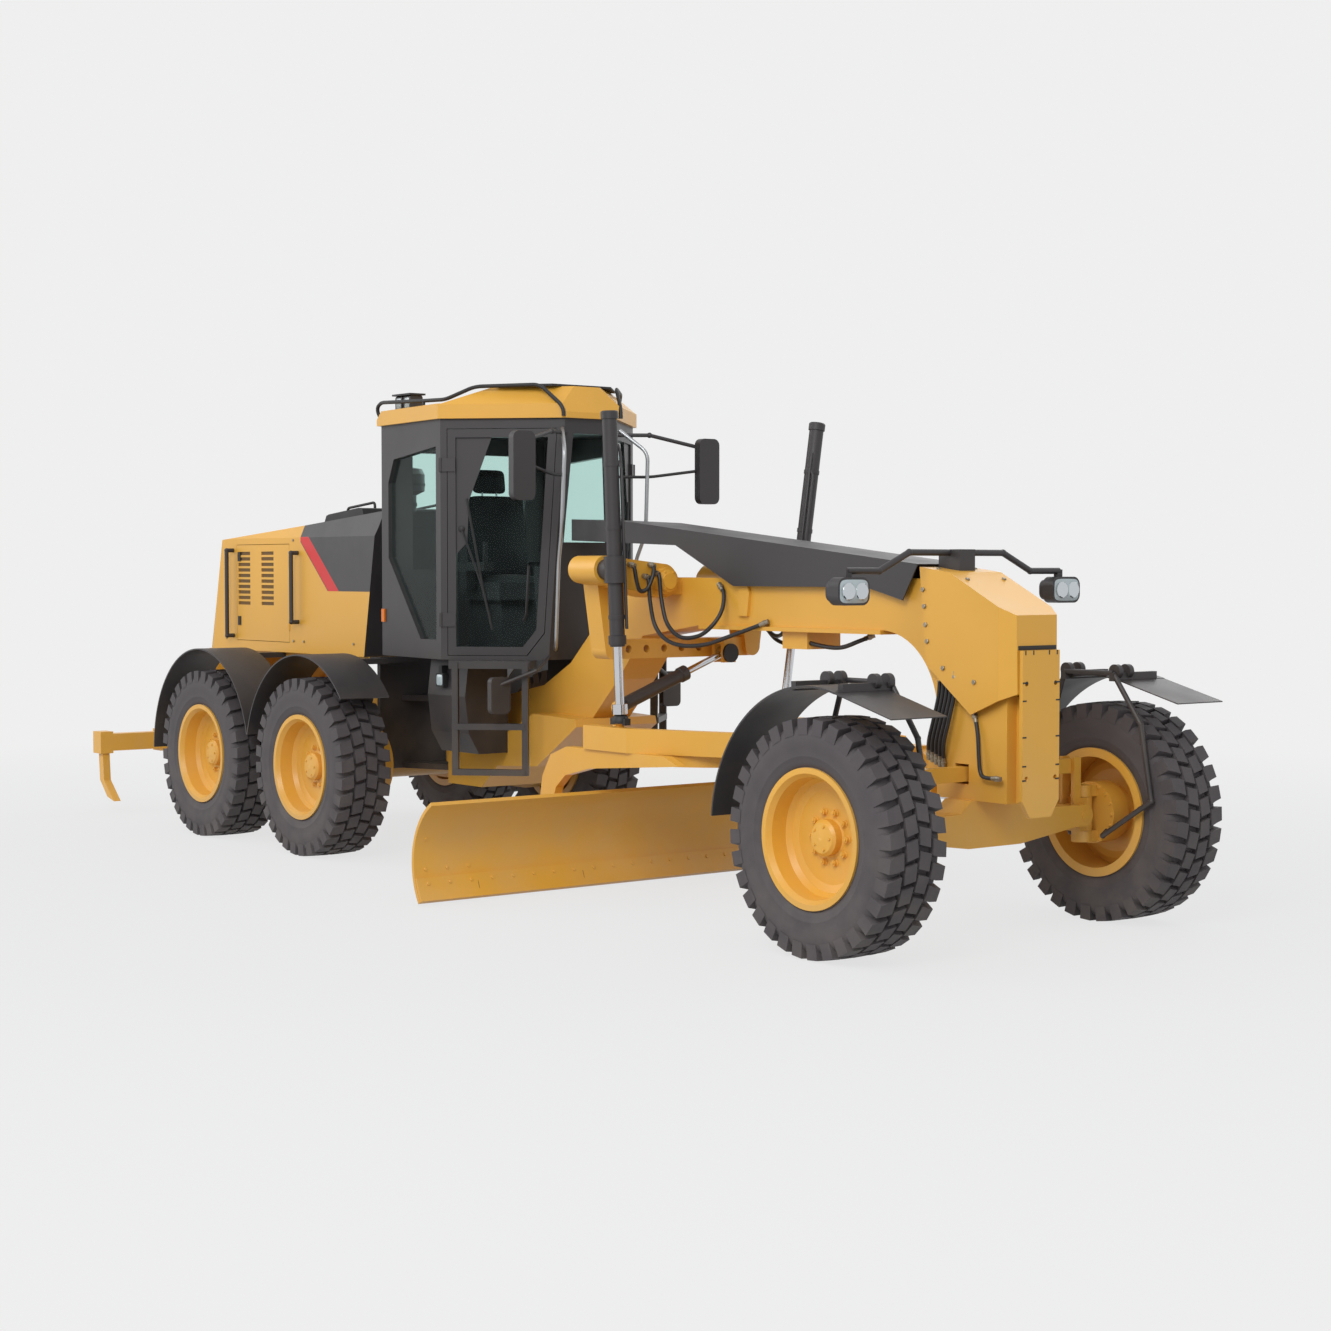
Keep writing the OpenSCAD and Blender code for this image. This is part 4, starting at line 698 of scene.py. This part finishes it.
class GRADER_OT_linkage(bpy.types.Operator):
    """Dresses the lift and shift linkage: bosses, formed lines, cylinder glands and ball caps"""

    bl_idname = "grader.linkage"
    bl_label = "Lift linkage"

    def execute(self, context):
        x, r = FRONT_X, settings().hose
        build = Build()
        cap = [[0.070, 0], [0.070, 0.012], [0.052, 0.018], [0.050, 0.026], [0, 0.026]]
        centres = [[x - 2.41, s * 0.29, 1.93] for s in (-1.0, 1.0)]
        build.add(*lathes(cap, centres, (1, 0, 0), 28))
        turn = np.linspace(0, 2 * np.pi, 6, endpoint=False)
        spread = np.stack([np.full(6, 0.012), 0.060 * np.cos(turn), 0.060 * np.sin(turn)], -1)
        build.add(*bolts((np.array(centres)[:, None] + spread).reshape(-1, 3), (1, 0, 0), 0.008, 0.008))
        build.add(*boxes([[x - 1.40, 0, 1.585]], (0.11, 0.13, 0.051)))
        build.prism([[-1.87, 1.72], [-1.79, 1.72], [-1.77, 1.86], [-1.80, 1.93], [-1.87, 1.93]],
                    (x, -0.1525, 0), (1, 0, 0), (0, 0, 1), 0.02)
        build.object("linkage_bosses", "front_frame", [FINISH["yellow"]], "yellow_paint")
        runs = []
        for s in (-1.0, 1.0):
            runs.append(placed(x, s, [[-2.445, 0.45, 1.96], [-2.40, 0.45, 1.945], [-2.38, 0.45, 1.80],
                                      [-2.345, 0.44, 1.66], [-2.25, 0.43, 1.575], [-2.12, 0.40, 1.54],
                                      [-1.97, 0.34, 1.55], [-1.834, 0.27, 1.60], [-1.71, 0.21, 1.648],
                                      [-1.60, 0.166, 1.69]]))
            runs.append(placed(x, s, [[-2.445, 0.375, 1.98], [-2.39, 0.375, 1.965], [-2.365, 0.375, 1.82],
                                      [-2.30, 0.38, 1.67], [-2.18, 0.37, 1.59], [-2.05, 0.33, 1.60],
                                      [-1.975, 0.28, 1.67], [-1.965, 0.22, 1.76], [-2.00, 0.18, 1.86],
                                      [-2.06, 0.166, 1.91]]))
            runs.append(placed(x, s, [[-2.445, 0.56, 2.03], [-2.40, 0.56, 2.02], [-2.385, 0.55, 1.93],
                                      [-2.39, 0.52, 1.87], [-2.38, 0.47, 1.885], [-2.375, 0.43, 1.97],
                                      [-2.40, 0.41, 2.02], [-2.445, 0.405, 2.03]]))
        runs.append(placed(x, 1.0, [[-1.62, 0.0, 1.625], [-1.45, -0.1, 1.60], [-1.23, -0.1, 1.56],
                                    [-1.05, -0.09, 1.55], [-0.92, -0.06, 1.59], [-0.86, 0.0, 1.625]]))
        lines("linkage_lines", "front_frame", runs, r)
        tilts = (("right", -1.0, math.atan2(-0.04, 0.92)), ("left", 1.0, math.atan2(0.14, 0.92)))
        for side, s, tilt in tilts:
            up = np.array([0, math.sin(tilt), math.cos(tilt)])
            across = np.array([0, math.cos(tilt), -math.sin(tilt)])
            pin = np.array([x - 2.35, s * 0.74, 2.0])
            build = Build()
            gland = [[0.0463, -0.452], [0.054, -0.452], [0.054, -0.400], [0.0463, -0.396]]
            clip = [[0.0463, 0], [0.0500, 0], [0.0500, 0.024], [0.0463, 0.024]]
            build.add(*lathe(gland, pin, up, 40))
            head = [[0.0463, 0.905], [0.053, 0.905], [0.053, 0.946], [0.046, 0.953], [0, 0.953]]
            build.add(*lathe(head, pin, up, 40))
            for t in (-0.30, 0.24, 0.62):
                build.add(*lathe(clip, pin + t * up, up, 32))
            inner = pin - s * 0.046 * across + (0.034, 0, 0)
            for k in (0, 1):
                off = inner + (0.022 * k, s * 0.012 * k, 0)
                path = [off + t * up for t in (-0.36, -0.30, 0.2, 0.70 - 0.1 * k)]
                path.append(pin + (0.75 - 0.1 * k) * up + 0.77 * (inner - pin))
                build.add(*tube(path, 0.0085))
            build.object("lift_lines_%s" % side, "lift_barrel_%s" % side, [FINISH["dark"]], "dark_paint")
            ball = np.array([x - 2.35, -0.70 if s < 0 else 0.60, 1.08])
            angle = np.linspace(math.radians(100), math.radians(12), 12)
            shell = np.stack([0.054 * np.sin(angle), 0.054 * np.cos(angle)], -1)
            cap = np.concatenate([[[0.040, shell[0, 1]]], shell, [[0.0, shell[-1, 1]]]])
            build = Build().add(*lathe(cap, ball, up, 36))
            for k in (-1.0, 1.0):
                build.add(*boxes([ball + (k * 0.060, 0, 0)], (0.014, 0.022, 0.020)))
                build.add(*bolts([ball + (k * 0.062, 0, 0.020)], up, 0.010, 0.012))
            build.object("ball_cap_%s" % side, "lift_rod_%s" % side, [FINISH["black"]], "dark_paint")
        pin = np.array([x - 2.55, 0.27, 1.47])
        along = unit((0, -0.79, -0.30))
        gland = [[0.0423, 0.332], [0.049, 0.332], [0.049, 0.380], [0.0423, 0.384]]
        build = Build().add(*lathe(gland, pin, along, 36))
        build.object("shift_gland", "shift_barrel", [FINISH["dark"]], "dark_paint")
        cap = [[0, -0.012], [0.034, -0.012], [0.034, 0], [0.060, 0.002], [0.060, 0.018], [0, 0.018]]
        build = Build().add(*lathe(cap, pin + (0.060, 0, 0), (1, 0, 0), 28))
        build.object("shift_pin_cap", "front_frame", [FINISH["black"]], "dark_paint")
        foot = pin + 0.899 * along
        pedestal = [[0.060, 0.942 - foot[2]], [0.036, 1.02 - foot[2]], [0.028, -0.03], [0.040, -0.018],
                    [0.043, 0.0], [0.036, 0.026], [0.018, 0.040], [0, 0.043]]
        build = Build().add(*lathe(pedestal, foot, (0, 0, 1), 32))
        build.object("shift_foot", "drawbar", [FINISH["yellow"]], "yellow_paint")
        return {"FINISHED"}


class GRADER_OT_blade(bpy.types.Operator):
    """Bolts of the cutting edge and end bits, and the seams between them"""

    bl_idname = "grader.blade"
    bl_label = "Blade bolts"

    def execute(self, context):
        centre = np.array([FRONT_X - 2.482, 0.0, 0.253])
        build = Build()
        y = np.arange(-1.75, 1.76, 0.1522)

        def spots(angle, radius, at):
            """Points of the blade's concave face at an angle, and the direction to its centre line."""
            a = math.radians(angle)
            out = np.array([math.cos(a), 0.0, math.sin(a)])
            return centre + radius * out + np.stack([0 * at, at, 0 * at], -1), -out

        build.add(*bolts(*spots(198.5, 0.397, y), 0.012, 0.007))
        ends = np.concatenate([y[:3], y[-3:]])
        build.add(*bolts(*spots(186.0, 0.413, ends), 0.012, 0.007))
        build.add(*bolts(*spots(160.0, 0.413, np.array([-1.76, 1.76])), 0.011, 0.006))
        build.object("blade_bolts", "moldboard", [FINISH["yellow"]], "yellow_paint")
        build = Build()
        for at in (-1.40, -0.62, 0.62, 1.40):
            place, inward = spots(203.5, 0.3968, np.array([at]))
            along = np.cross(inward, (0, 1, 0))
            build.add(*boxes(place, (0.0006, 0.0012, 0.066), np.stack([inward, (0, 1, 0), along])))
        build.object("blade_seams", "moldboard", [FINISH["black"]], "yellow_paint")
        return {"FINISHED"}


class GRADER_OT_cab_trim(bpy.types.Operator):
    """Dresses the cab: door panels, wipers, grab tubes, mirror faces, roof rail, plate and lamps"""

    bl_idname = "grader.cab_trim"
    bl_label = "Cab trim"

    def execute(self, context):
        x = FRONT_X
        for side, s in SIDES:
            post = np.array([x - 4.22, s * 0.80, 0.0])
            along = unit((1.0, -s, 0.0))
            outward = unit((1.0, s, 0.0))
            depth = 0.006

            def on_door(u, z, inward):
                return post + u * along - inward * outward + (0, 0, z)

            build = Build()
            outline = np.array([[0.101, 2.10], [0.176, 2.18], [0.190, 2.46], [0.345, 2.877],
                                [0.101, 2.877]])
            if s < 0:
                build.prism(outline, post - 0.020 * outward, along, (0, 0, 1), depth)
            else:
                build.prism(outline[::-1] * (-1, 1), post - 0.020 * outward, -along, (0, 0, 1), depth)
            build.object("door_panel_%s" % side, "door_%s" % side, [FINISH["dark"]], "dark_paint")
            build = Build()
            hub = [[0.022, -0.004], [0.022, 0.012], [0.012, 0.020], [0, 0.020]]
            build.add(*lathe(hub, on_door(0.140, 2.27, 0.016), outward, 20))
            arm = [(0.140, 2.27, 0.0), (0.205, 2.10, -0.004), (0.285, 1.87, 0.002)]
            wiper = [(0.175, 2.47, 0.010), (0.285, 1.87, 0.006), (0.345, 1.60, 0.010)]
            handle = [(0.560, 1.66, 0.0), (0.585, 1.70, -0.04), (0.60, 1.98, -0.04), (0.595, 2.02, 0.0)]
            for path, radius in ((arm, 0.007), (wiper, 0.008), (handle, 0.010)):
                build.add(*tube([on_door(*spot) for spot in path], radius))
            build.object("door_wiper_%s" % side, "door_%s" % side, [FINISH["black"]], "dark_paint")
            grab = [[-3.66, 0.262, 1.47], [-3.60, 0.300, 1.50], [-3.545, 0.315, 2.05], [-3.47, 0.345, 2.24],
                    [-3.44, 0.34, 2.78], [-3.615, 0.235, 2.93]]
            build = Build().add(*bent_tube(placed(x, s, grab), 0.013))
            build.object("grab_tube_%s" % side, "front_frame", [FINISH["alloy"]], "dark_paint")
            build = Build()
            build.add(*dome([x - 3.351, s * 0.753, 2.66], (0, -1, 0), (0, 0, 1), (0.070, 0.205), 0.004))
            build.add(*dome([x - 3.691, s * 0.705, 1.18], (0, -1, 0), (0, 0, 1), (0.062, 0.105), 0.004))
            build.object("mirror_face_%s" % side, "front_frame", [FINISH["mirror"]], "dark_paint")
            mirror_arm = [[-3.62, 0.205, 2.62], [-3.50, 0.40, 2.62], [-3.335, 0.66, 2.66]]
            rail = [[-5.19, 0.665, 3.03], [-5.235, 0.69, 3.12], [-5.16, 0.70, 3.165], [-4.53, 0.735, 3.140],
                    [-4.28, 0.72, 3.135], [-4.10, 0.605, 3.215], [-3.76, 0.315, 3.222],
                    [-3.60, 0.235, 3.07], [-3.60, 0.235, 3.01]]
            stay = [[-4.53, 0.735, 3.138], [-4.53, 0.745, 3.00], [-4.53, 0.75, 2.93]]
            build = Build()
            build.add(*bent_tube(placed(x, s, mirror_arm), 0.010, 0.05))
            build.add(*bent_tube(placed(x, s, rail), 0.013, 0.05))
            build.add(*tube(placed(x, s, stay), 0.011))
            build.add(*boxes([[x - 4.96, s * 0.592, 3.211]], (0.118, 0.064, 0.006)))
            build.object("cab_rails_%s" % side, "front_frame", [FINISH["black"]], "dark_paint")
            build = Build()
            for a in (-5.015, -4.905):
                lamp = [x + a, s * 0.6405, 3.152]
                build.add(*dome(lamp, (-s, 0, 0), (0, 0, 1), (0.031, 0.036), 0.006, 6.0))
            lamp = [x - 4.40, s * 0.702, 1.254]
            build.add(*dome(lamp, (-s, 0, 0), (0, 0, 1), (0.036, 0.036), 0.006, 6.0))
            build.object("work_lenses_%s" % side, "front_frame", [FINISH["lens"]], "lamp_lens")
            build = Build()
            build.add(*boxes([[x - 4.40, s * 0.682, 1.254]], (0.046, 0.019, 0.046)))
            build.add(*boxes([[x - 4.40, s * 0.665, 1.30]], (0.02, 0.03, 0.05)))
            build.object("work_lamp_%s" % side, "front_frame", [FINISH["black"]], "dark_paint")
            build = Build().add(*boxes([[x - 5.115, s * 0.708, 1.68]], (0.018, 0.010, 0.045)))
            build.object("marker_%s" % side, "front_frame", [FINISH["amber"]], "lamp_lens")
        plate = [[-4.02, -0.50], [-3.72, -0.24], [-3.72, 0.24], [-4.02, 0.50]]
        build = Build().prism(plate, (x, 0, 3.2152), (1, 0, 0), (0, 1, 0), 0.014)
        plug = [[0.0, 0.0], [0.026, 0.0], [0.026, 0.012], [0.018, 0.018], [0, 0.018]]
        build.add(*lathe(plug, (x - 4.62, 0.0, 3.1), (0, 0, 1), 24))
        build.object("roof_plate", "front_frame", [FINISH["black"]], "dark_paint")
        return {"FINISHED"}


class GRADER_OT_seat(bpy.types.Operator):
    """Upholsters the seat: crowned cushion, back pad and headrest on its posts"""

    bl_idname = "grader.seat"
    bl_label = "Seat"

    def execute(self, context):
        x = FRONT_X
        lean = unit((-0.08, 0.0, 0.60))
        pads = {"seat_cushion": ([x - 4.59, 0, 1.908], (1, 0, 0), (0, 1, 0), (0.262, 0.262), 0.060, 0.025),
                "seat_back": ([x - 4.76, 0, 2.215], (0, 1, 0), lean, (0.252, 0.305), 0.065, 0.030),
                "headrest": (np.array([x - 4.86, 0, 2.620]), (0, 1, 0), lean, (0.140, 0.085), 0.045, 0.045)}
        for name, (centre, right, up, half, crown, back) in pads.items():
            build = Build()
            build.add(*dome(centre, right, up, half, crown, 6.0, 9, 56))
            build.add(*dome(centre, up, right, half[::-1], back, 6.0, 9, 56))
            if name == "headrest":
                for y in (-0.06, 0.06):
                    foot = centre - 0.135 * lean + (0, y, 0)
                    build.add(*tube([foot, foot + 0.05 * lean, centre + (0, y, 0)], 0.008), 1)
            pad = build.object(name, "front_frame", [FINISH["cloth"], FINISH["chrome"]], "cab_trim", 60.0)
        return {"FINISHED"}


class GRADER_OT_hood_trim(bpy.types.Operator):
    """Dresses the hood: grille mesh, latches, panel bolts, tail lamps, hatch and the cleaner's bands"""

    bl_idname = "grader.hood_trim"
    bl_label = "Hood trim"

    def execute(self, context):
        x = TANDEM_X
        for side, s in SIDES:
            build = Build()
            for a in (-1.397, -1.014):
                build.add(*boxes([[x + a + 0.1, s * 0.5934, 1.9385]], (0.099, 0.0004, 0.2130)))
            build.object("door_mesh_%s" % side, "engine_door_%s" % side, [FINISH["mesh"]], "yellow_paint")
            latches = [[x - 1.375, s * 0.602, z] for z in (1.60, 2.10)]
            build = Build().add(*boxes(latches, (0.022, 0.004, 0.035)))
            build.object("door_latches_%s" % side, "engine_door_%s" % side, [FINISH["black"]], "dark_paint")
            build = Build()
            spots = [[-1.60, 1.46], [-1.60, 2.10], [-0.50, 1.46], [-0.50, 2.22], [-0.34, 1.46],
                     [0.40, 1.46]]
            build.add(*bolts([[x + a, s * 0.600, z] for a, z in spots], (0, s, 0), 0.011, 0.007))
            build.object("hood_bolts_%s" % side, "rear_frame", [FINISH["zinc"]], "dark_paint")
            build = Build()
            build.add(*boxes([[x - 1.913, s * 0.45, 1.22]], (0.006, 0.06, 0.045)))
            build.object("tail_lamp_%s" % side, "rear_frame", [FINISH["red_lens"]], "lamp_lens")
        build = Build()
        hatch = [[-0.30, 2.333], [0.30, 2.382], [0.27, 2.446], [0.22, 2.452], [-0.22, 2.412],
                 [-0.26, 2.402]]
        build.prism(hatch, (x, 0.45, 0), (1, 0, 0), (0, 0, 1), 0.90)
        handle = [[-0.20, 2.405], [-0.20, 2.460], [0.20, 2.495], [0.20, 2.440]]
        for y in (-0.30, 0.30):
            build.add(*bent_tube([[x + a, y, z] for a, z in handle], 0.010, 0.03))
        build.object("hood_hatch", "rear_frame", [FINISH["black"]], "dark_paint")
        build = Build()
        centre = (x + 0.523, -0.22, 2.36)
        for inner, outer, low, high in ((0.071, 0.075, 0.10, 0.125), (0.131, 0.134, 0.245, 0.265)):
            band = [[inner, low], [outer, low], [outer, high], [inner, high]]
            build.add(*lathe(band, centre, (0, 0, 1), 40))
        build.object("cleaner_bands", "rear_frame", [FINISH["black"]], "dark_paint")
        return {"FINISHED"}


class GRADER_OT_stage(bpy.types.Operator):
    """Lays the pale floor, lights the studio and sets the camera"""

    bl_idname = "grader.stage"
    bl_label = "Studio"

    def execute(self, context):
        s = settings()
        scene = context.scene
        size, near, far, least = 60.0, 5.0, 12.0, 0.84
        floor = bpy.data.meshes.new("studio_floor")
        corners = [(-size, -size, 0), (size, -size, 0), (size, size, 0), (-size, size, 0)]
        floor.from_pydata(corners, [], [(0, 1, 2, 3)])
        ground = bpy.data.objects.new("studio_floor", floor)
        scene.collection.objects.link(ground)
        paint = Paint("studio_floor", tuple(0.6 * c for c in s.floor), 0.9)
        plain = paint.node("ShaderNodeEmission", {}, {"Color": tuple(s.floor), "Strength": 1.0})
        reach = paint.node("ShaderNodeVectorMath", {"operation": "LENGTH"}, {0: paint.place()}, "Value")
        plainness = paint.directly_seen() * (reach.over(near, far) * (1.0 - least) + least)
        lit = Socket(paint, paint.shader.outputs[0])
        share = paint.node("ShaderNodeMixShader", {}, {0: plainness, 1: lit, 2: plain})
        paint.tree.links.new(share.link, paint.tree.nodes["Material Output"].inputs["Surface"])
        floor.materials.append(paint.material)
        scene.world = bpy.data.worlds.new("studio_world")
        sky = Sky(scene.world)
        soft = sky.node("ShaderNodeBackground", {}, {"Color": (0.92, 0.95, 1.0), "Strength": 0.72})
        plain = sky.node("ShaderNodeBackground", {}, {"Color": tuple(s.floor), "Strength": 1.0})
        share = sky.node("ShaderNodeMixShader", {}, {0: sky.directly_seen(), 1: soft, 2: plain})
        output = sky.tree.nodes.new("ShaderNodeOutputWorld")
        sky.tree.links.new(share.link, output.inputs["Surface"])
        for name, place, aim, energy, width in (
                ("key", (9.0, -11.0, 10.0), (0.5, 0.0, 1.0), 1150.0, 7.0),
                ("fill", (-9.0, -9.0, 7.0), (-1.0, 0.0, 1.2), 450.0, 8.0),
                ("back", (-4.0, 12.0, 9.0), (0.0, 0.0, 1.5), 350.0, 8.0)):
            lamp = bpy.data.lights.new(name, "AREA")
            lamp.energy = energy
            lamp.size = width
            holder = bpy.data.objects.new(name, lamp)
            holder.location = place
            holder.visible_transmission = False
            holder.rotation_euler = (Vector(aim) - Vector(place)).to_track_quat("-Z", "Y").to_euler()
            scene.collection.objects.link(holder)
        camera = bpy.data.cameras.new("camera")
        camera.sensor_width = 36.0
        camera.lens = s.lens
        camera.clip_end = 200.0
        eye = bpy.data.objects.new("camera", camera)
        eye.location = (FRONT_X + 8.692, -8.898, 2.0)
        turn, tilt = math.radians(37.73), math.radians(2.417)
        look = Vector((-math.cos(turn) * math.cos(tilt), math.sin(turn) * math.cos(tilt), -math.sin(tilt)))
        eye.rotation_euler = look.to_track_quat("-Z", "Y").to_euler()
        scene.collection.objects.link(eye)
        scene.camera = eye
        scene.view_settings.view_transform = "Standard"
        return {"FINISHED"}


OPERATORS = (GRADER_OT_finishes, GRADER_OT_tyres, GRADER_OT_wheel_trim, GRADER_OT_front_end,
             GRADER_OT_linkage, GRADER_OT_blade, GRADER_OT_cab_trim, GRADER_OT_seat, GRADER_OT_hood_trim,
             GRADER_OT_stage)


class GRADER_PT_panel(bpy.types.Panel):
    """Lists the grader's settings and the operators that dress it"""

    bl_idname = "GRADER_PT_panel"
    bl_label = "Motor grader"
    bl_space_type = "VIEW_3D"
    bl_region_type = "UI"
    bl_category = "Grader"

    def draw(self, context):
        for name in GraderSettings.__annotations__:
            self.layout.prop(context.scene.grader, name)
        for operator in OPERATORS:
            self.layout.operator(operator.bl_idname)


CLASSES = (GraderSettings, *OPERATORS, GRADER_PT_panel)


def register():
    for cls in CLASSES:
        bpy.utils.register_class(cls)
    bpy.types.Scene.grader = PointerProperty(type=GraderSettings)


def unregister():
    del bpy.types.Scene.grader
    for cls in reversed(CLASSES):
        bpy.utils.unregister_class(cls)


def main():
    register()
    for operator in OPERATORS:
        group, name = operator.bl_idname.split(".")
        getattr(getattr(bpy.ops, group), name)()


if __name__ == "__main__":
    main()
